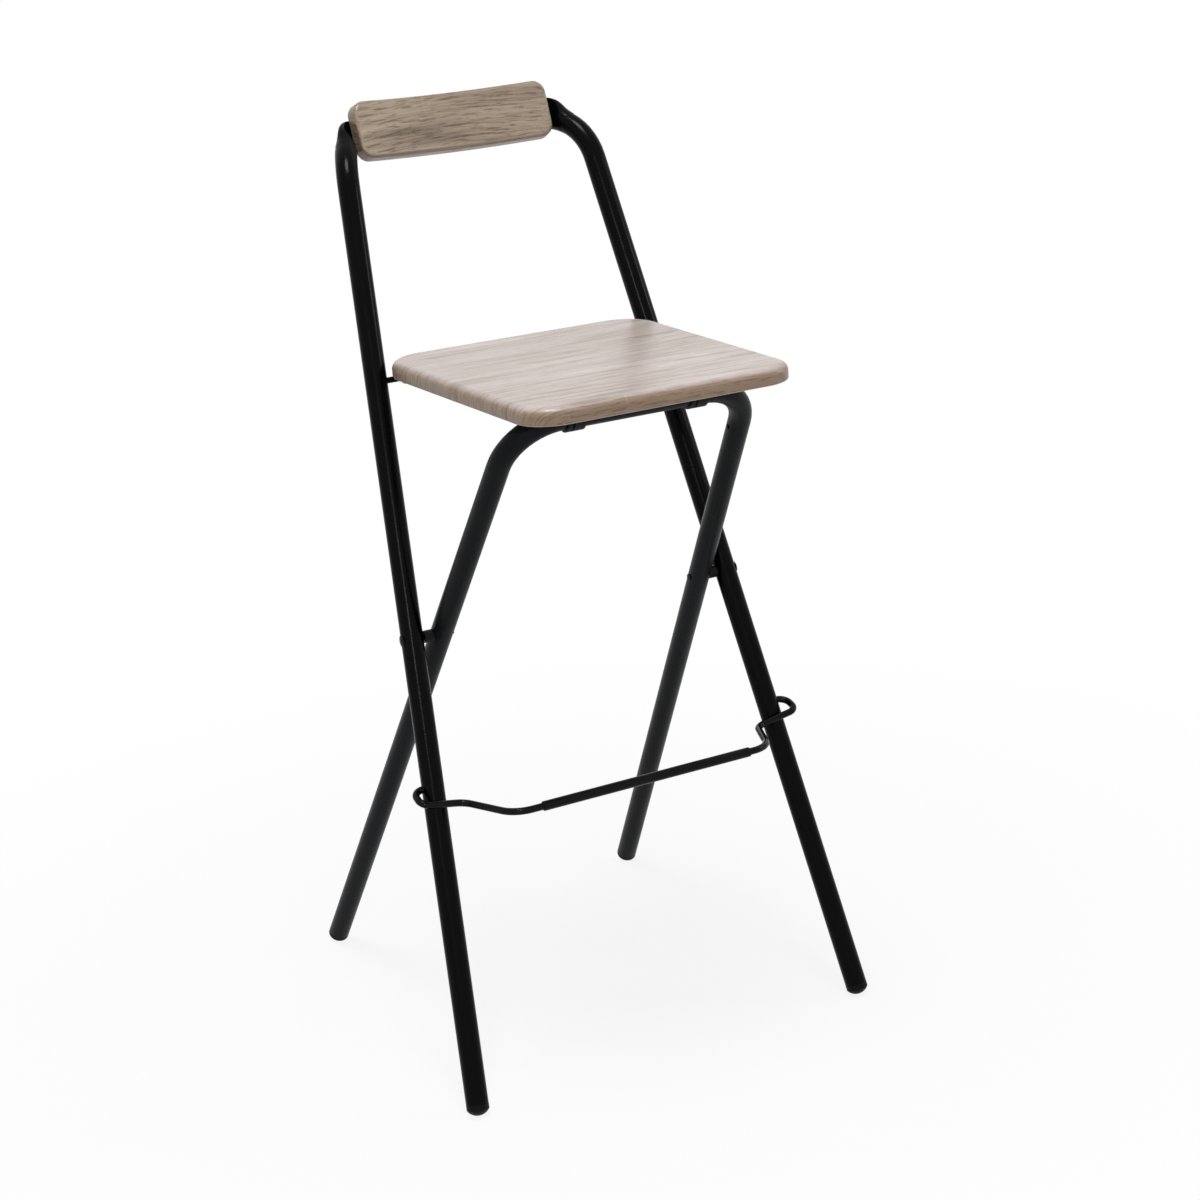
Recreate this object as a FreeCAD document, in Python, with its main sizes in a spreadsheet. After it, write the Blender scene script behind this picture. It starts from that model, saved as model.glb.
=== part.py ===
import FreeCAD, Part
import math
import os
import Sketcher

# Folding bar stool with a back.
# Millimetres. +X runs from left to right as seen from the front, +Y points to
# the rear, +Z is up. The origin is on the floor at the middle of the footprint box.
# Two bent tube frames cross like scissors. The back frame runs from the front
# feet up to the backrest, the leg frame from the rear feet up to the bar that
# the seat hinges on.

os.makedirs("parts", exist_ok=True)
Vector = FreeCAD.Vector
doc = FreeCAD.newDocument("folding_bar_stool")
sheet = doc.addObject("Spreadsheet::Sheet", "sizes")

SIZES = [
    # tube of both frames
    ("tube_diameter", 22.0),
    ("tube_wall", 1.2),
    # back frame: lean from the vertical, splay of each leg in its own plane
    ("back_lean", 19.7),
    ("back_splay", 5.2),
    ("back_bend_start", 921.0),
    ("back_bend_radius", 58.0),
    ("crossbar_line", 956.0),
    ("crossbar_set_back", 44.0),
    ("crossbar_bow_radius", 630.0),
    ("crossbar_corner_reach", 9.5),
    ("crossbar_widening", 11.0),
    ("crossbar_flat_thickness", 3.4),
    # leg frame
    ("leg_lean", 34.9),
    ("leg_splay", 4.4),
    ("rear_feet_inset", 32.0),
    ("leg_bend_radius", 54.0),
    ("feet_spread", 455.0),
    ("vent_diameter", 5.0),
    # feet
    ("foot_bulge", 2.0),
    ("foot_lip", 5.0),
    ("foot_plug_length", 20.0),
    ("foot_plug_wall", 2.0),
    # pivots
    ("pivot_pin_diameter", 6.0),
    ("rivet_head_diameter", 12.0),
    ("rivet_head_height", 1.2),
    ("rivet_tail_diameter", 7.0),
    ("rivet_tail_height", 0.7),
    ("spacer_diameter", 12.0),
    # seat
    ("seat_top", 687.5),
    ("seat_thickness", 16.0),
    ("seat_rear_overhang", 12.41560),
    ("seat_front_overhang", 73.7),
    ("seat_rear_half", 143.5),
    ("seat_taper", 7.7),
    ("leg_past_seat", 8.05353),
    ("seat_front_radius", 36.0),
    ("seat_rear_radius", 42.0),
    ("seat_top_round", 8.0),
    ("seat_bottom_round", 2.0),
    # seat hinge clips
    ("clip_spacing", 126.0),
    ("clip_width", 17.5),
    ("clip_wall", 2.3),
    ("clip_base", 2.0),
    ("clip_web", 0.8),
    ("clip_groove_place", 4.2),
    ("clip_groove_width", 2.0),
    ("clip_base_length", 48.0),
    ("clip_screw_spacing", 37.5),
    # seat support rod and the hooks that sit over it
    ("rod_diameter", 6.0),
    ("hook_inset", 31.5),
    ("hook_width", 24.0),
    ("hook_plate", 1.5),
    ("hook_length", 34.0),
    ("hook_lip", 12.0),
    ("hook_play", 0.6),
    ("hook_screw_spacing", 16.0),
    # backrest
    ("back_board_height", 58.0),
    ("back_board_rise", 2.0),
    ("back_board_thickness", 17.5),
    ("back_board_half", 104.5),
    ("board_end_lap", 2.0),
    ("back_board_corner", 13.0),
    ("back_board_round", 3.5),
    ("back_screw_spacing", 44.0),
    # wood screws
    ("screw_diameter", 4.0),
    ("screw_length", 12.0),
    ("screw_head_diameter", 8.0),
    ("screw_head_height", 2.2),
    # footrest
    ("footrest_pivot_height", 296.8),
    ("footrest_wire", 7.0),
    ("footrest_bar_forward", 81.2),
    ("footrest_bar_drop", 12.5),
    ("footrest_bar_inset", 37.20987),
    ("footrest_arm_inset", 12.60987),
    ("footrest_loop_reach", 10.29013),
    ("footrest_cross_drop", 15.9),
    ("footrest_loop_drop", 6.7),
    ("footrest_cross_tilt", 6.3),
    ("footrest_pivot_bend", 10.6),
    ("footrest_loop_bend", 7.8),
    ("footrest_arm_bend", 12.8),
    ("footrest_bar_bend", 25.5),
    ("sleeve_length", 226.8),
    ("sleeve_diameter", 9.6),
    ("sleeve_shift", 3.4),
    # fits
    ("running_fit", 0.06),
    ("close_fit", 0.05),
    ("seat_gap", 0.3),
    ("board_gap", 0.4),
]

row = 0
for name, value in SIZES:
    row = row + 1
    sheet.set("A%d" % row, name)
    sheet.set("B%d" % row, "%.6f" % value)
    sheet.setAlias("B%d" % row, name)
doc.recompute()


def size(name):
    return float(sheet.get(name))


def tie(item, prop, expression):
    item.setExpression(prop, expression)


tube_r = size("tube_diameter") / 2.0
back_lean = math.radians(size("back_lean"))
back_splay = math.radians(size("back_splay"))
leg_lean = math.radians(size("leg_lean"))
leg_splay = math.radians(size("leg_splay"))
wire_r = size("footrest_wire") / 2.0
rod_r = size("rod_diameter") / 2.0
pin_r = size("pivot_pin_diameter") / 2.0
seat_under = size("seat_top") - size("seat_thickness")

# The footprint box runs from the seat's front edge to the back of the rear feet.
# Heights give the rest: the hinge bar hangs under the seat by the clip's web,
# the rod by the hook's plate, and both lie on the centre planes of their frames.
bar_z = seat_under - size("clip_web") - size("running_fit") - tube_r
rod_z = seat_under - size("hook_plate") - size("seat_gap") - rod_r
pivot_z = size("feet_spread") / (math.tan(back_lean) + math.tan(leg_lean))
bar_from_front_foot = size("feet_spread") - bar_z * math.tan(leg_lean)
seat_front = bar_from_front_foot - size("seat_front_overhang")
foot_radius = tube_r + size("foot_bulge")
rear_reach = size("feet_spread") + foot_radius * (1.0 - math.tan(leg_lean))
front_foot_y = -(rear_reach + seat_front) / 2.0
rear_foot_y = front_foot_y + size("feet_spread")
pivot_y = front_foot_y + pivot_z * math.tan(back_lean)
bar_y = front_foot_y + bar_from_front_foot
rod_y = front_foot_y + rod_z * math.tan(back_lean)
seat_front_y = front_foot_y + seat_front
seat_depth = rod_y - seat_front_y + size("seat_rear_overhang")

# Across, the frames follow the seat: the legs pass its sides at the rod's height,
# the leg frame stands inside the back frame, the hooks sit in from the seat's rear
# corners and the flat crossbar is as long as the board it carries.
rod_along = rod_z / math.cos(back_lean)
leg_gap = size("seat_rear_half") + size("leg_past_seat")
back_foot_half = leg_gap + rod_along * math.tan(back_splay)
leg_foot_half = back_foot_half - size("rear_feet_inset")
hook_spacing = 2.0 * (size("seat_rear_half") - size("hook_inset"))
crossbar_flat_half = size("back_board_half") - size("board_end_lap")


def back_point(x, along, behind):
    # a point of the back frame: along its plane from the floor, and behind it
    y = front_foot_y + along * math.sin(back_lean) + behind * math.cos(back_lean)
    z = along * math.cos(back_lean) - behind * math.sin(back_lean)
    return Vector(x, y, z)


def back_half(along):
    return back_foot_half - along * math.tan(back_splay)


def leg_half(along):
    return leg_foot_half - along * math.tan(leg_splay)


def leg_point(x, along, behind):
    y = rear_foot_y - along * math.sin(leg_lean) + behind * math.cos(leg_lean)
    z = along * math.cos(leg_lean) + behind * math.sin(leg_lean)
    return Vector(x, y, z)


def leg_axis(point, half, side):
    # unit vector up a leg, from its foot to where it has moved in by the splay
    low = point(side * half(0.0), 0.0, 0.0)
    high = point(side * half(500.0), 500.0, 0.0)
    return (high - low).normalize()


def unit(vector):
    copy = Vector(vector)
    copy.normalize()
    return copy


def rounded_path(points, radii):
    # straight runs joined by tangent arcs; one radius for each inner point
    edges = []
    start = points[0]
    for i in range(1, len(points) - 1):
        back = unit(points[i - 1] - points[i])
        ahead = unit(points[i + 1] - points[i])
        turn = math.pi - back.getAngle(ahead)
        reach = radii[i - 1] * math.tan(turn / 2.0)
        first = points[i] + back * reach
        last = points[i] + ahead * reach
        middle = unit(back + ahead)
        height = radii[i - 1] / math.cos(turn / 2.0) - radii[i - 1]
        if (first - start).Length > 0.001:
            edges.append(Part.LineSegment(start, first).toShape())
        edges.append(Part.Arc(first, points[i] + middle * height, last).toShape())
        start = last
    if (points[-1] - start).Length > 0.001:
        edges.append(Part.LineSegment(start, points[-1]).toShape())
    return edges


def swept(edges, radius):
    start = edges[0].valueAt(edges[0].FirstParameter)
    tangent = edges[0].tangentAt(edges[0].FirstParameter)
    ring = Part.Wire([Part.Circle(start, tangent, radius).toShape()])
    return Part.Wire(edges).makePipeShell([ring], True, False)


def origin_plane(body, role):
    for feature in body.Origin.OriginFeatures:
        if feature.Role == role:
            return feature
    return None


def new_sketch(body, role, name):
    sketch = body.newObject("Sketcher::SketchObject", name)
    sketch.AttachmentSupport = [(origin_plane(body, role), "")]
    sketch.MapMode = "FlatFace"
    return sketch


def outline(sketch, points):
    # closed chain of straight lines
    first = sketch.GeometryCount
    count = len(points)
    for i in range(count):
        a = points[i]
        b = points[(i + 1) % count]
        line = Part.LineSegment(Vector(a[0], a[1], 0), Vector(b[0], b[1], 0))
        sketch.addGeometry(line, False)
    for i in range(count):
        nxt = first + (i + 1) % count
        sketch.addConstraint(Sketcher.Constraint("Coincident", first + i, 2, nxt, 1))
    return first


def pin_point(sketch, geo, end, name, x_formula, y_formula):
    # hold a point at formulas of the sheet, measured from the sketch origin
    base = doc.getObject(sketch.Name)
    point = base.getPoint(geo, end)
    kx = base.addConstraint(Sketcher.Constraint("DistanceX", -1, 1, geo, end, point.x))
    base.renameConstraint(kx, name + "_x")
    base.setExpression("Constraints." + name + "_x", x_formula)
    ky = base.addConstraint(Sketcher.Constraint("DistanceY", -1, 1, geo, end, point.y))
    base.renameConstraint(ky, name + "_y")
    base.setExpression("Constraints." + name + "_y", y_formula)


def add_circle(sketch, x, y, radius, name, x_formula, y_formula, r_formula):
    circle = Part.Circle(Vector(x, y, 0), Vector(0, 0, 1), radius)
    geo = sketch.addGeometry(circle, False)
    if x_formula == "0" and y_formula == "0":
        sketch.addConstraint(Sketcher.Constraint("Coincident", geo, 3, -1, 1))
    elif x_formula == "0":
        sketch.addConstraint(Sketcher.Constraint("PointOnObject", geo, 3, -2))
        ky = sketch.addConstraint(Sketcher.Constraint("DistanceY", -1, 1, geo, 3, y))
        sketch.renameConstraint(ky, name + "_y")
        sketch.setExpression("Constraints." + name + "_y", y_formula)
    else:
        pin_point(sketch, geo, 3, name, x_formula, y_formula)
    kr = sketch.addConstraint(Sketcher.Constraint("Radius", geo, radius))
    sketch.renameConstraint(kr, name + "_r")
    sketch.setExpression("Constraints." + name + "_r", r_formula)
    return geo


def pad(body, sketch, name, formula, midplane):
    feature = body.newObject("PartDesign::Pad", name)
    feature.Profile = sketch
    feature.setExpression("Length", formula)
    if midplane:
        feature.SideType = "Symmetric"
    return feature


def edge_names(shape, test):
    names = []
    for i in range(len(shape.Edges)):
        if test(shape.Edges[i]):
            names.append("Edge%d" % (i + 1))
    return names


def fillet(body, base, name, test, formula):
    doc.recompute()
    feature = body.newObject("PartDesign::Fillet", name)
    feature.Base = (base, edge_names(base.Shape, test))
    feature.setExpression("Radius", formula)
    return feature


def plain(name, shape):
    item = doc.addObject("Part::Feature", name)
    item.Shape = shape
    item.Label = name
    return item


# Back frame tube.
# Each leg runs straight from its foot, then bends inward and backward at once,
# so that the crossbar is set back behind the plane of the legs and the folded
# seat has room in front of it. From the bend on the tube is pressed flat, and
# the flat crossbar is bowed to the curve of the backrest.

def flat_oval(centre, wide, thin, a, b, r):
    # oval of four tangent arcs; half sizes a and b, end radius r
    if a - b < 0.01:
        tx = r / math.sqrt(2.0)
        ty = tx
    else:
        c = ((a - r) ** 2 - (b - r) ** 2) / (2.0 * (b - r))
        hyp = math.hypot(a - r, c)
        tx = (a - r) + r * (a - r) / hyp
        ty = r * c / hyp

    def at(u, v):
        return centre + wide * u + thin * v

    arcs = [
        Part.Arc(at(-tx, ty), at(0, b), at(tx, ty)).toShape(),
        Part.Arc(at(tx, ty), at(a, 0), at(tx, -ty)).toShape(),
        Part.Arc(at(tx, -ty), at(0, -b), at(-tx, -ty)).toShape(),
        Part.Arc(at(-tx, -ty), at(-a, 0), at(-tx, ty)).toShape(),
    ]
    return Part.Wire(arcs)


def bow_sag(x):
    radius = size("crossbar_bow_radius")
    return radius - math.sqrt(radius * radius - x * x)


def crossbar_behind(x):
    return size("crossbar_set_back") - bow_sag(x)


def back_leg_route():
    # centre line of the right leg and bend, up to where the crossbar is flat
    x_flat = crossbar_flat_half
    level = size("crossbar_line")
    slope = x_flat / size("crossbar_bow_radius")
    lean = math.asin(slope)
    reach = size("crossbar_corner_reach")
    flat_end = back_point(x_flat, level, crossbar_behind(x_flat))
    corner_x = x_flat + reach * math.cos(lean)
    corner_n = crossbar_behind(x_flat) - reach * math.sin(lean)
    corner = back_point(corner_x, level, corner_n)
    start = foot_end(back_foot_half, back_splay, back_lean)
    s1 = size("back_bend_start")
    knee = back_point(back_half(s1), s1, 0.0)
    turn = math.pi - (knee - corner).getAngle(flat_end - corner)
    radius = reach / math.tan(turn / 2.0)
    low = back_point(back_half(start), start, 0.0)
    return rounded_path([low, knee, corner, flat_end], [size("back_bend_radius"), radius])


def foot_end(half, splay, lean):
    # distance up the frame's plane where the tube stops on its foot cap
    rim = math.sqrt(foot_radius ** 2 - tube_r ** 2)
    centre = foot_radius / math.cos(lean)
    return centre - (rim - size("foot_lip")) * math.cos(splay)


def mirrored_x(shape):
    return shape.mirror(Vector(0, 0, 0), Vector(1, 0, 0))


def flattening(edges):
    # loft from the round tube to the flat crossbar along the last edges
    up = unit(back_point(0, 1, 0) - back_point(0, 0, 0))
    full_a = tube_r + size("crossbar_widening") / 2.0
    full_b = size("crossbar_flat_thickness") / 2.0
    girth = 4.0 * (full_a - full_b) + 2.0 * math.pi * full_b
    shares = [0.0, 0.12, 0.36, 0.70, 0.98, 1.0]
    wires = []
    lengths = [edge.Length for edge in edges]
    total = sum(lengths)
    steps = len(shares)
    for i in range(steps):
        walk = total * i / (steps - 1.0)
        k = 0
        while k < len(edges) - 1 and walk > lengths[k]:
            walk = walk - lengths[k]
            k = k + 1
        edge = edges[k]
        par = edge.getParameterByLength(min(walk, lengths[k]))
        centre = edge.valueAt(par)
        along = unit(edge.tangentAt(par))
        wide = unit(up - along * up.dot(along))
        thin = unit(along.cross(wide))
        share = shares[i]
        b = tube_r + (full_b - tube_r) * share
        # the pressed tube keeps its girth, so it widens as it thins
        a = b + (girth - 2.0 * math.pi * b) / 4.0
        a = tube_r + (a - tube_r) * min(1.0, share * 8.0)
        r = b * (1.0 - 0.07 * share)
        wires.append(flat_oval(centre, wide, thin, a, b, r))
    return Part.makeLoft(wires, True, False), wires[-1]


def make_back_frame_tube():
    route = back_leg_route()
    split = 2
    leg_edges = route[:split]
    outer = swept(leg_edges, tube_r)
    inner = swept(leg_edges, tube_r - size("tube_wall"))
    leg = outer.cut(inner)
    crush, flat_wire = flattening(route[split:])
    x_flat = crossbar_flat_half
    level = size("crossbar_line")
    right = back_point(x_flat, level, crossbar_behind(x_flat))
    middle = back_point(0, level, crossbar_behind(0))
    left = back_point(-x_flat, level, crossbar_behind(x_flat))
    bow = Part.Wire([Part.Arc(right, middle, left).toShape()])
    bar = bow.makePipeShell([flat_wire], True, False)
    whole = leg.fuse([crush, bar, mirrored_x(leg), mirrored_x(crush)])
    whole = whole.removeSplitter()
    cuts = []
    span = back_foot_half * 2.4
    # pivot rivets pass through both walls of each leg
    pivot = Vector(-span / 2.0, pivot_y, pivot_z)
    cuts.append(Part.makeCylinder(pin_r + size("close_fit"), span, pivot, Vector(1, 0, 0)))
    # the seat rod enters the inner wall of each leg
    s_rod = rod_z / math.cos(back_lean)
    inside = back_half(s_rod)
    rod_start = Vector(-inside, rod_y, rod_z)
    rod_hole = rod_r + size("close_fit")
    cuts.append(Part.makeCylinder(rod_hole, 2.0 * inside, rod_start, Vector(1, 0, 0)))
    # the footrest wire enters the outer wall of each leg
    fz = size("footrest_pivot_height")
    fy = front_foot_y + fz * math.tan(back_lean)
    f_half = back_half(fz / math.cos(back_lean))
    hole = wire_r + size("running_fit")
    for side in (-1, 1):
        start = Vector(side * f_half, fy, fz)
        cuts.append(Part.makeCylinder(hole, 30.0, start, Vector(side, 0, 0)))
    # clearance holes for the backrest screws
    for x in screw_places():
        front = crossbar_axis(x, -20.0)
        aim = crossbar_axis(x, 20.0) - front
        cuts.append(Part.makeCylinder(size("screw_diameter") / 2.0 + 0.25, 40.0, front, aim))
    return plain("back_frame_tube", whole.cut(cuts))


def screw_places():
    gap = size("back_screw_spacing")
    return [-1.5 * gap, -0.5 * gap, 0.5 * gap, 1.5 * gap]


def crossbar_axis(x, out):
    # point on the line square to the bowed crossbar at x, out behind its middle
    radius = size("crossbar_bow_radius")
    lean = math.asin(x / radius)
    behind = crossbar_behind(x) + out * math.cos(lean)
    return back_point(x + out * math.sin(lean), size("crossbar_line"), behind)


# Seat support rod, straight across between the back frame's legs.

def make_seat_support_rod():
    rod = doc.addObject("Part::Cylinder", "seat_support_rod")
    tie(rod, "Radius", "sizes.rod_diameter / 2")
    half = back_half(rod_z / math.cos(back_lean)) - 1.5
    slant = "tan(sizes.back_splay * 1deg) / cos(sizes.back_lean * 1deg)"
    height = "%s - %s - %s" % ("sizes.seat_top - sizes.seat_thickness", "sizes.hook_plate", "sizes.seat_gap")
    centre = "(%s - sizes.rod_diameter / 2)" % height
    legs = "(sizes.seat_rear_half + sizes.leg_past_seat + %s * %s)" % (centre, slant)
    tie(rod, "Height", "2 * (%s - %s * %s) - 3" % (legs, centre, slant))
    turn = FreeCAD.Rotation(Vector(0, 0, 1), Vector(1, 0, 0))
    rod.Placement = FreeCAD.Placement(Vector(-half, rod_y, rod_z), turn)
    rod.Label = "seat_support_rod"
    return rod


# Backrest board, bent to a gentle curve, with rounded corners and soft edges.

def make_backrest_board():
    body = doc.addObject("PartDesign::Body", "backrest_body")
    sketch = new_sketch(body, "XY_Plane", "backrest_outline")
    behind = size("crossbar_bow_radius") - size("crossbar_flat_thickness") / 2.0
    r_out = behind - size("board_gap")
    r_in = r_out - size("back_board_thickness")
    half = size("back_board_half")
    ends = math.acos(half / r_in)
    yi = r_in * math.sin(ends)
    back = r_out * math.cos(ends)
    yo = r_out * math.sin(ends)
    circle_out = Part.Circle(Vector(0, 0, 0), Vector(0, 0, 1), r_out)
    circle_in = Part.Circle(Vector(0, 0, 0), Vector(0, 0, 1), r_in)
    outer = sketch.addGeometry(Part.ArcOfCircle(circle_out, ends, math.pi - ends), False)
    inner = sketch.addGeometry(Part.ArcOfCircle(circle_in, ends, math.pi - ends), False)
    right = sketch.addGeometry(Part.LineSegment(Vector(half, yi, 0), Vector(back, yo, 0)), False)
    left = sketch.addGeometry(Part.LineSegment(Vector(-half, yi, 0), Vector(-back, yo, 0)), False)
    sketch.addConstraint(Sketcher.Constraint("Coincident", outer, 3, -1, 1))
    sketch.addConstraint(Sketcher.Constraint("Coincident", inner, 3, -1, 1))
    sketch.addConstraint(Sketcher.Constraint("Coincident", outer, 1, right, 2))
    sketch.addConstraint(Sketcher.Constraint("Coincident", outer, 2, left, 2))
    sketch.addConstraint(Sketcher.Constraint("Coincident", inner, 1, right, 1))
    sketch.addConstraint(Sketcher.Constraint("Coincident", inner, 2, left, 1))
    sketch.addConstraint(Sketcher.Constraint("PointOnObject", -1, 1, right))
    sketch.addConstraint(Sketcher.Constraint("PointOnObject", -1, 1, left))
    back_face = "sizes.crossbar_bow_radius - sizes.crossbar_flat_thickness / 2 - sizes.board_gap"
    k = sketch.addConstraint(Sketcher.Constraint("Radius", outer, r_out))
    sketch.renameConstraint(k, "back_face_radius")
    sketch.setExpression("Constraints.back_face_radius", back_face)
    k = sketch.addConstraint(Sketcher.Constraint("Radius", inner, r_in))
    sketch.renameConstraint(k, "front_face_radius")
    front_face = back_face + " - sizes.back_board_thickness"
    sketch.setExpression("Constraints.front_face_radius", front_face)
    k = sketch.addConstraint(Sketcher.Constraint("DistanceX", -1, 1, right, 1, half))
    sketch.renameConstraint(k, "right_half")
    sketch.setExpression("Constraints.right_half", "sizes.back_board_half")
    k = sketch.addConstraint(Sketcher.Constraint("DistanceX", left, 1, -1, 1, half))
    sketch.renameConstraint(k, "left_half")
    sketch.setExpression("Constraints.left_half", "sizes.back_board_half")
    slab = pad(body, sketch, "backrest_slab", "sizes.back_board_height", True)

    def corner(edge):
        box = edge.BoundBox
        side = abs(box.Center.x) > half - 0.01
        return side and box.ZLength < 0.01

    rounds = fillet(body, slab, "backrest_corners", corner, "sizes.back_board_corner")

    def rim(edge):
        points = edge.discretize(5)
        radii = [math.hypot(p.x, p.y) for p in points]
        on_front = max(abs(r - r_in) for r in radii) < 0.05
        on_back = max(abs(r - r_out) for r in radii) < 0.05
        return on_front or on_back

    soft = fillet(body, rounds, "backrest_edges", rim, "sizes.back_board_round")
    doc.recompute()
    body.Tip = soft
    centre_n = size("crossbar_set_back") - size("crossbar_bow_radius")
    place = back_point(0, size("crossbar_line") + size("back_board_rise"), centre_n)
    turn = FreeCAD.Rotation(Vector(1, 0, 0), -size("back_lean"))
    body.Placement = FreeCAD.Placement(place, turn)
    body.Label = "backrest_blank"
    # pilot holes for the screws, square to the bowed crossbar
    pilots = []
    behind = size("crossbar_flat_thickness") / 2.0
    for x in screw_places():
        pilot = doc.addObject("Part::Cylinder", "backrest_pilot")
        tie(pilot, "Radius", "sizes.screw_diameter / 2 + sizes.close_fit")
        tie(pilot, "Height", "sizes.screw_length + 1")
        head = crossbar_axis(x, behind)
        aim = crossbar_axis(x, 0.0) - head
        turn = FreeCAD.Rotation(Vector(0, 0, 1), aim)
        pilot.Placement = FreeCAD.Placement(head, turn)
        pilots.append(pilot)
    group = doc.addObject("Part::Compound", "backrest_pilots")
    group.Links = pilots
    board = doc.addObject("Part::Cut", "backrest_board")
    board.Base = body
    board.Tool = group
    board.Label = "backrest_board"
    return board


# Pan-head wood screws. The head's flat side is at the origin, the shank points
# along +Z with a short cone, and the head rises below with a cross recess.

def screw_shape(length):
    head_r = size("screw_head_diameter") / 2.0
    head_h = size("screw_head_height")
    shank_r = size("screw_diameter") / 2.0
    p = [
        Vector(0, 0, -head_h),
        Vector(head_r * 0.55, 0, -head_h),
        Vector(head_r, 0, -head_h * 0.35),
        Vector(head_r, 0, 0),
        Vector(shank_r, 0, 0),
        Vector(shank_r, 0, length - 3.0),
        Vector(0, 0, length),
    ]
    bulge = Vector(head_r * 0.86, 0, -head_h * 0.82)
    edges = [
        Part.LineSegment(p[0], p[1]).toShape(),
        Part.Arc(p[1], bulge, p[2]).toShape(),
        Part.LineSegment(p[2], p[3]).toShape(),
        Part.LineSegment(p[3], p[4]).toShape(),
        Part.LineSegment(p[4], p[5]).toShape(),
        Part.LineSegment(p[5], p[6]).toShape(),
        Part.LineSegment(p[6], p[0]).toShape(),
    ]
    solid = Part.Face(Part.Wire(edges)).revolve(Vector(0, 0, 0), Vector(0, 0, 1), 360)
    slot_a = Part.makeBox(3.6, 0.9, 1.2, Vector(-1.8, -0.45, -head_h - 0.1))
    slot_b = Part.makeBox(0.9, 3.6, 1.2, Vector(-0.45, -1.8, -head_h - 0.1))
    return Part.Solid(solid.cut([slot_a, slot_b]).Solids[0])


def placed(shape, position, direction):
    copy = shape.copy()
    turn = FreeCAD.Rotation(Vector(0, 0, 1), direction)
    copy.Placement = FreeCAD.Placement(position, turn)
    return copy


def make_backrest_screws():
    one = screw_shape(size("screw_length"))
    out = size("crossbar_flat_thickness") / 2.0
    solids = []
    for x in screw_places():
        seat = crossbar_axis(x, out)
        aim = crossbar_axis(x, 0.0) - seat
        solids.append(placed(one, seat, aim))
    return plain("backrest_screws", Part.makeCompound(solids))


# Foot cap: a plug in the tube's end, a lip flush with the tube and a domed tread.

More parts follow.
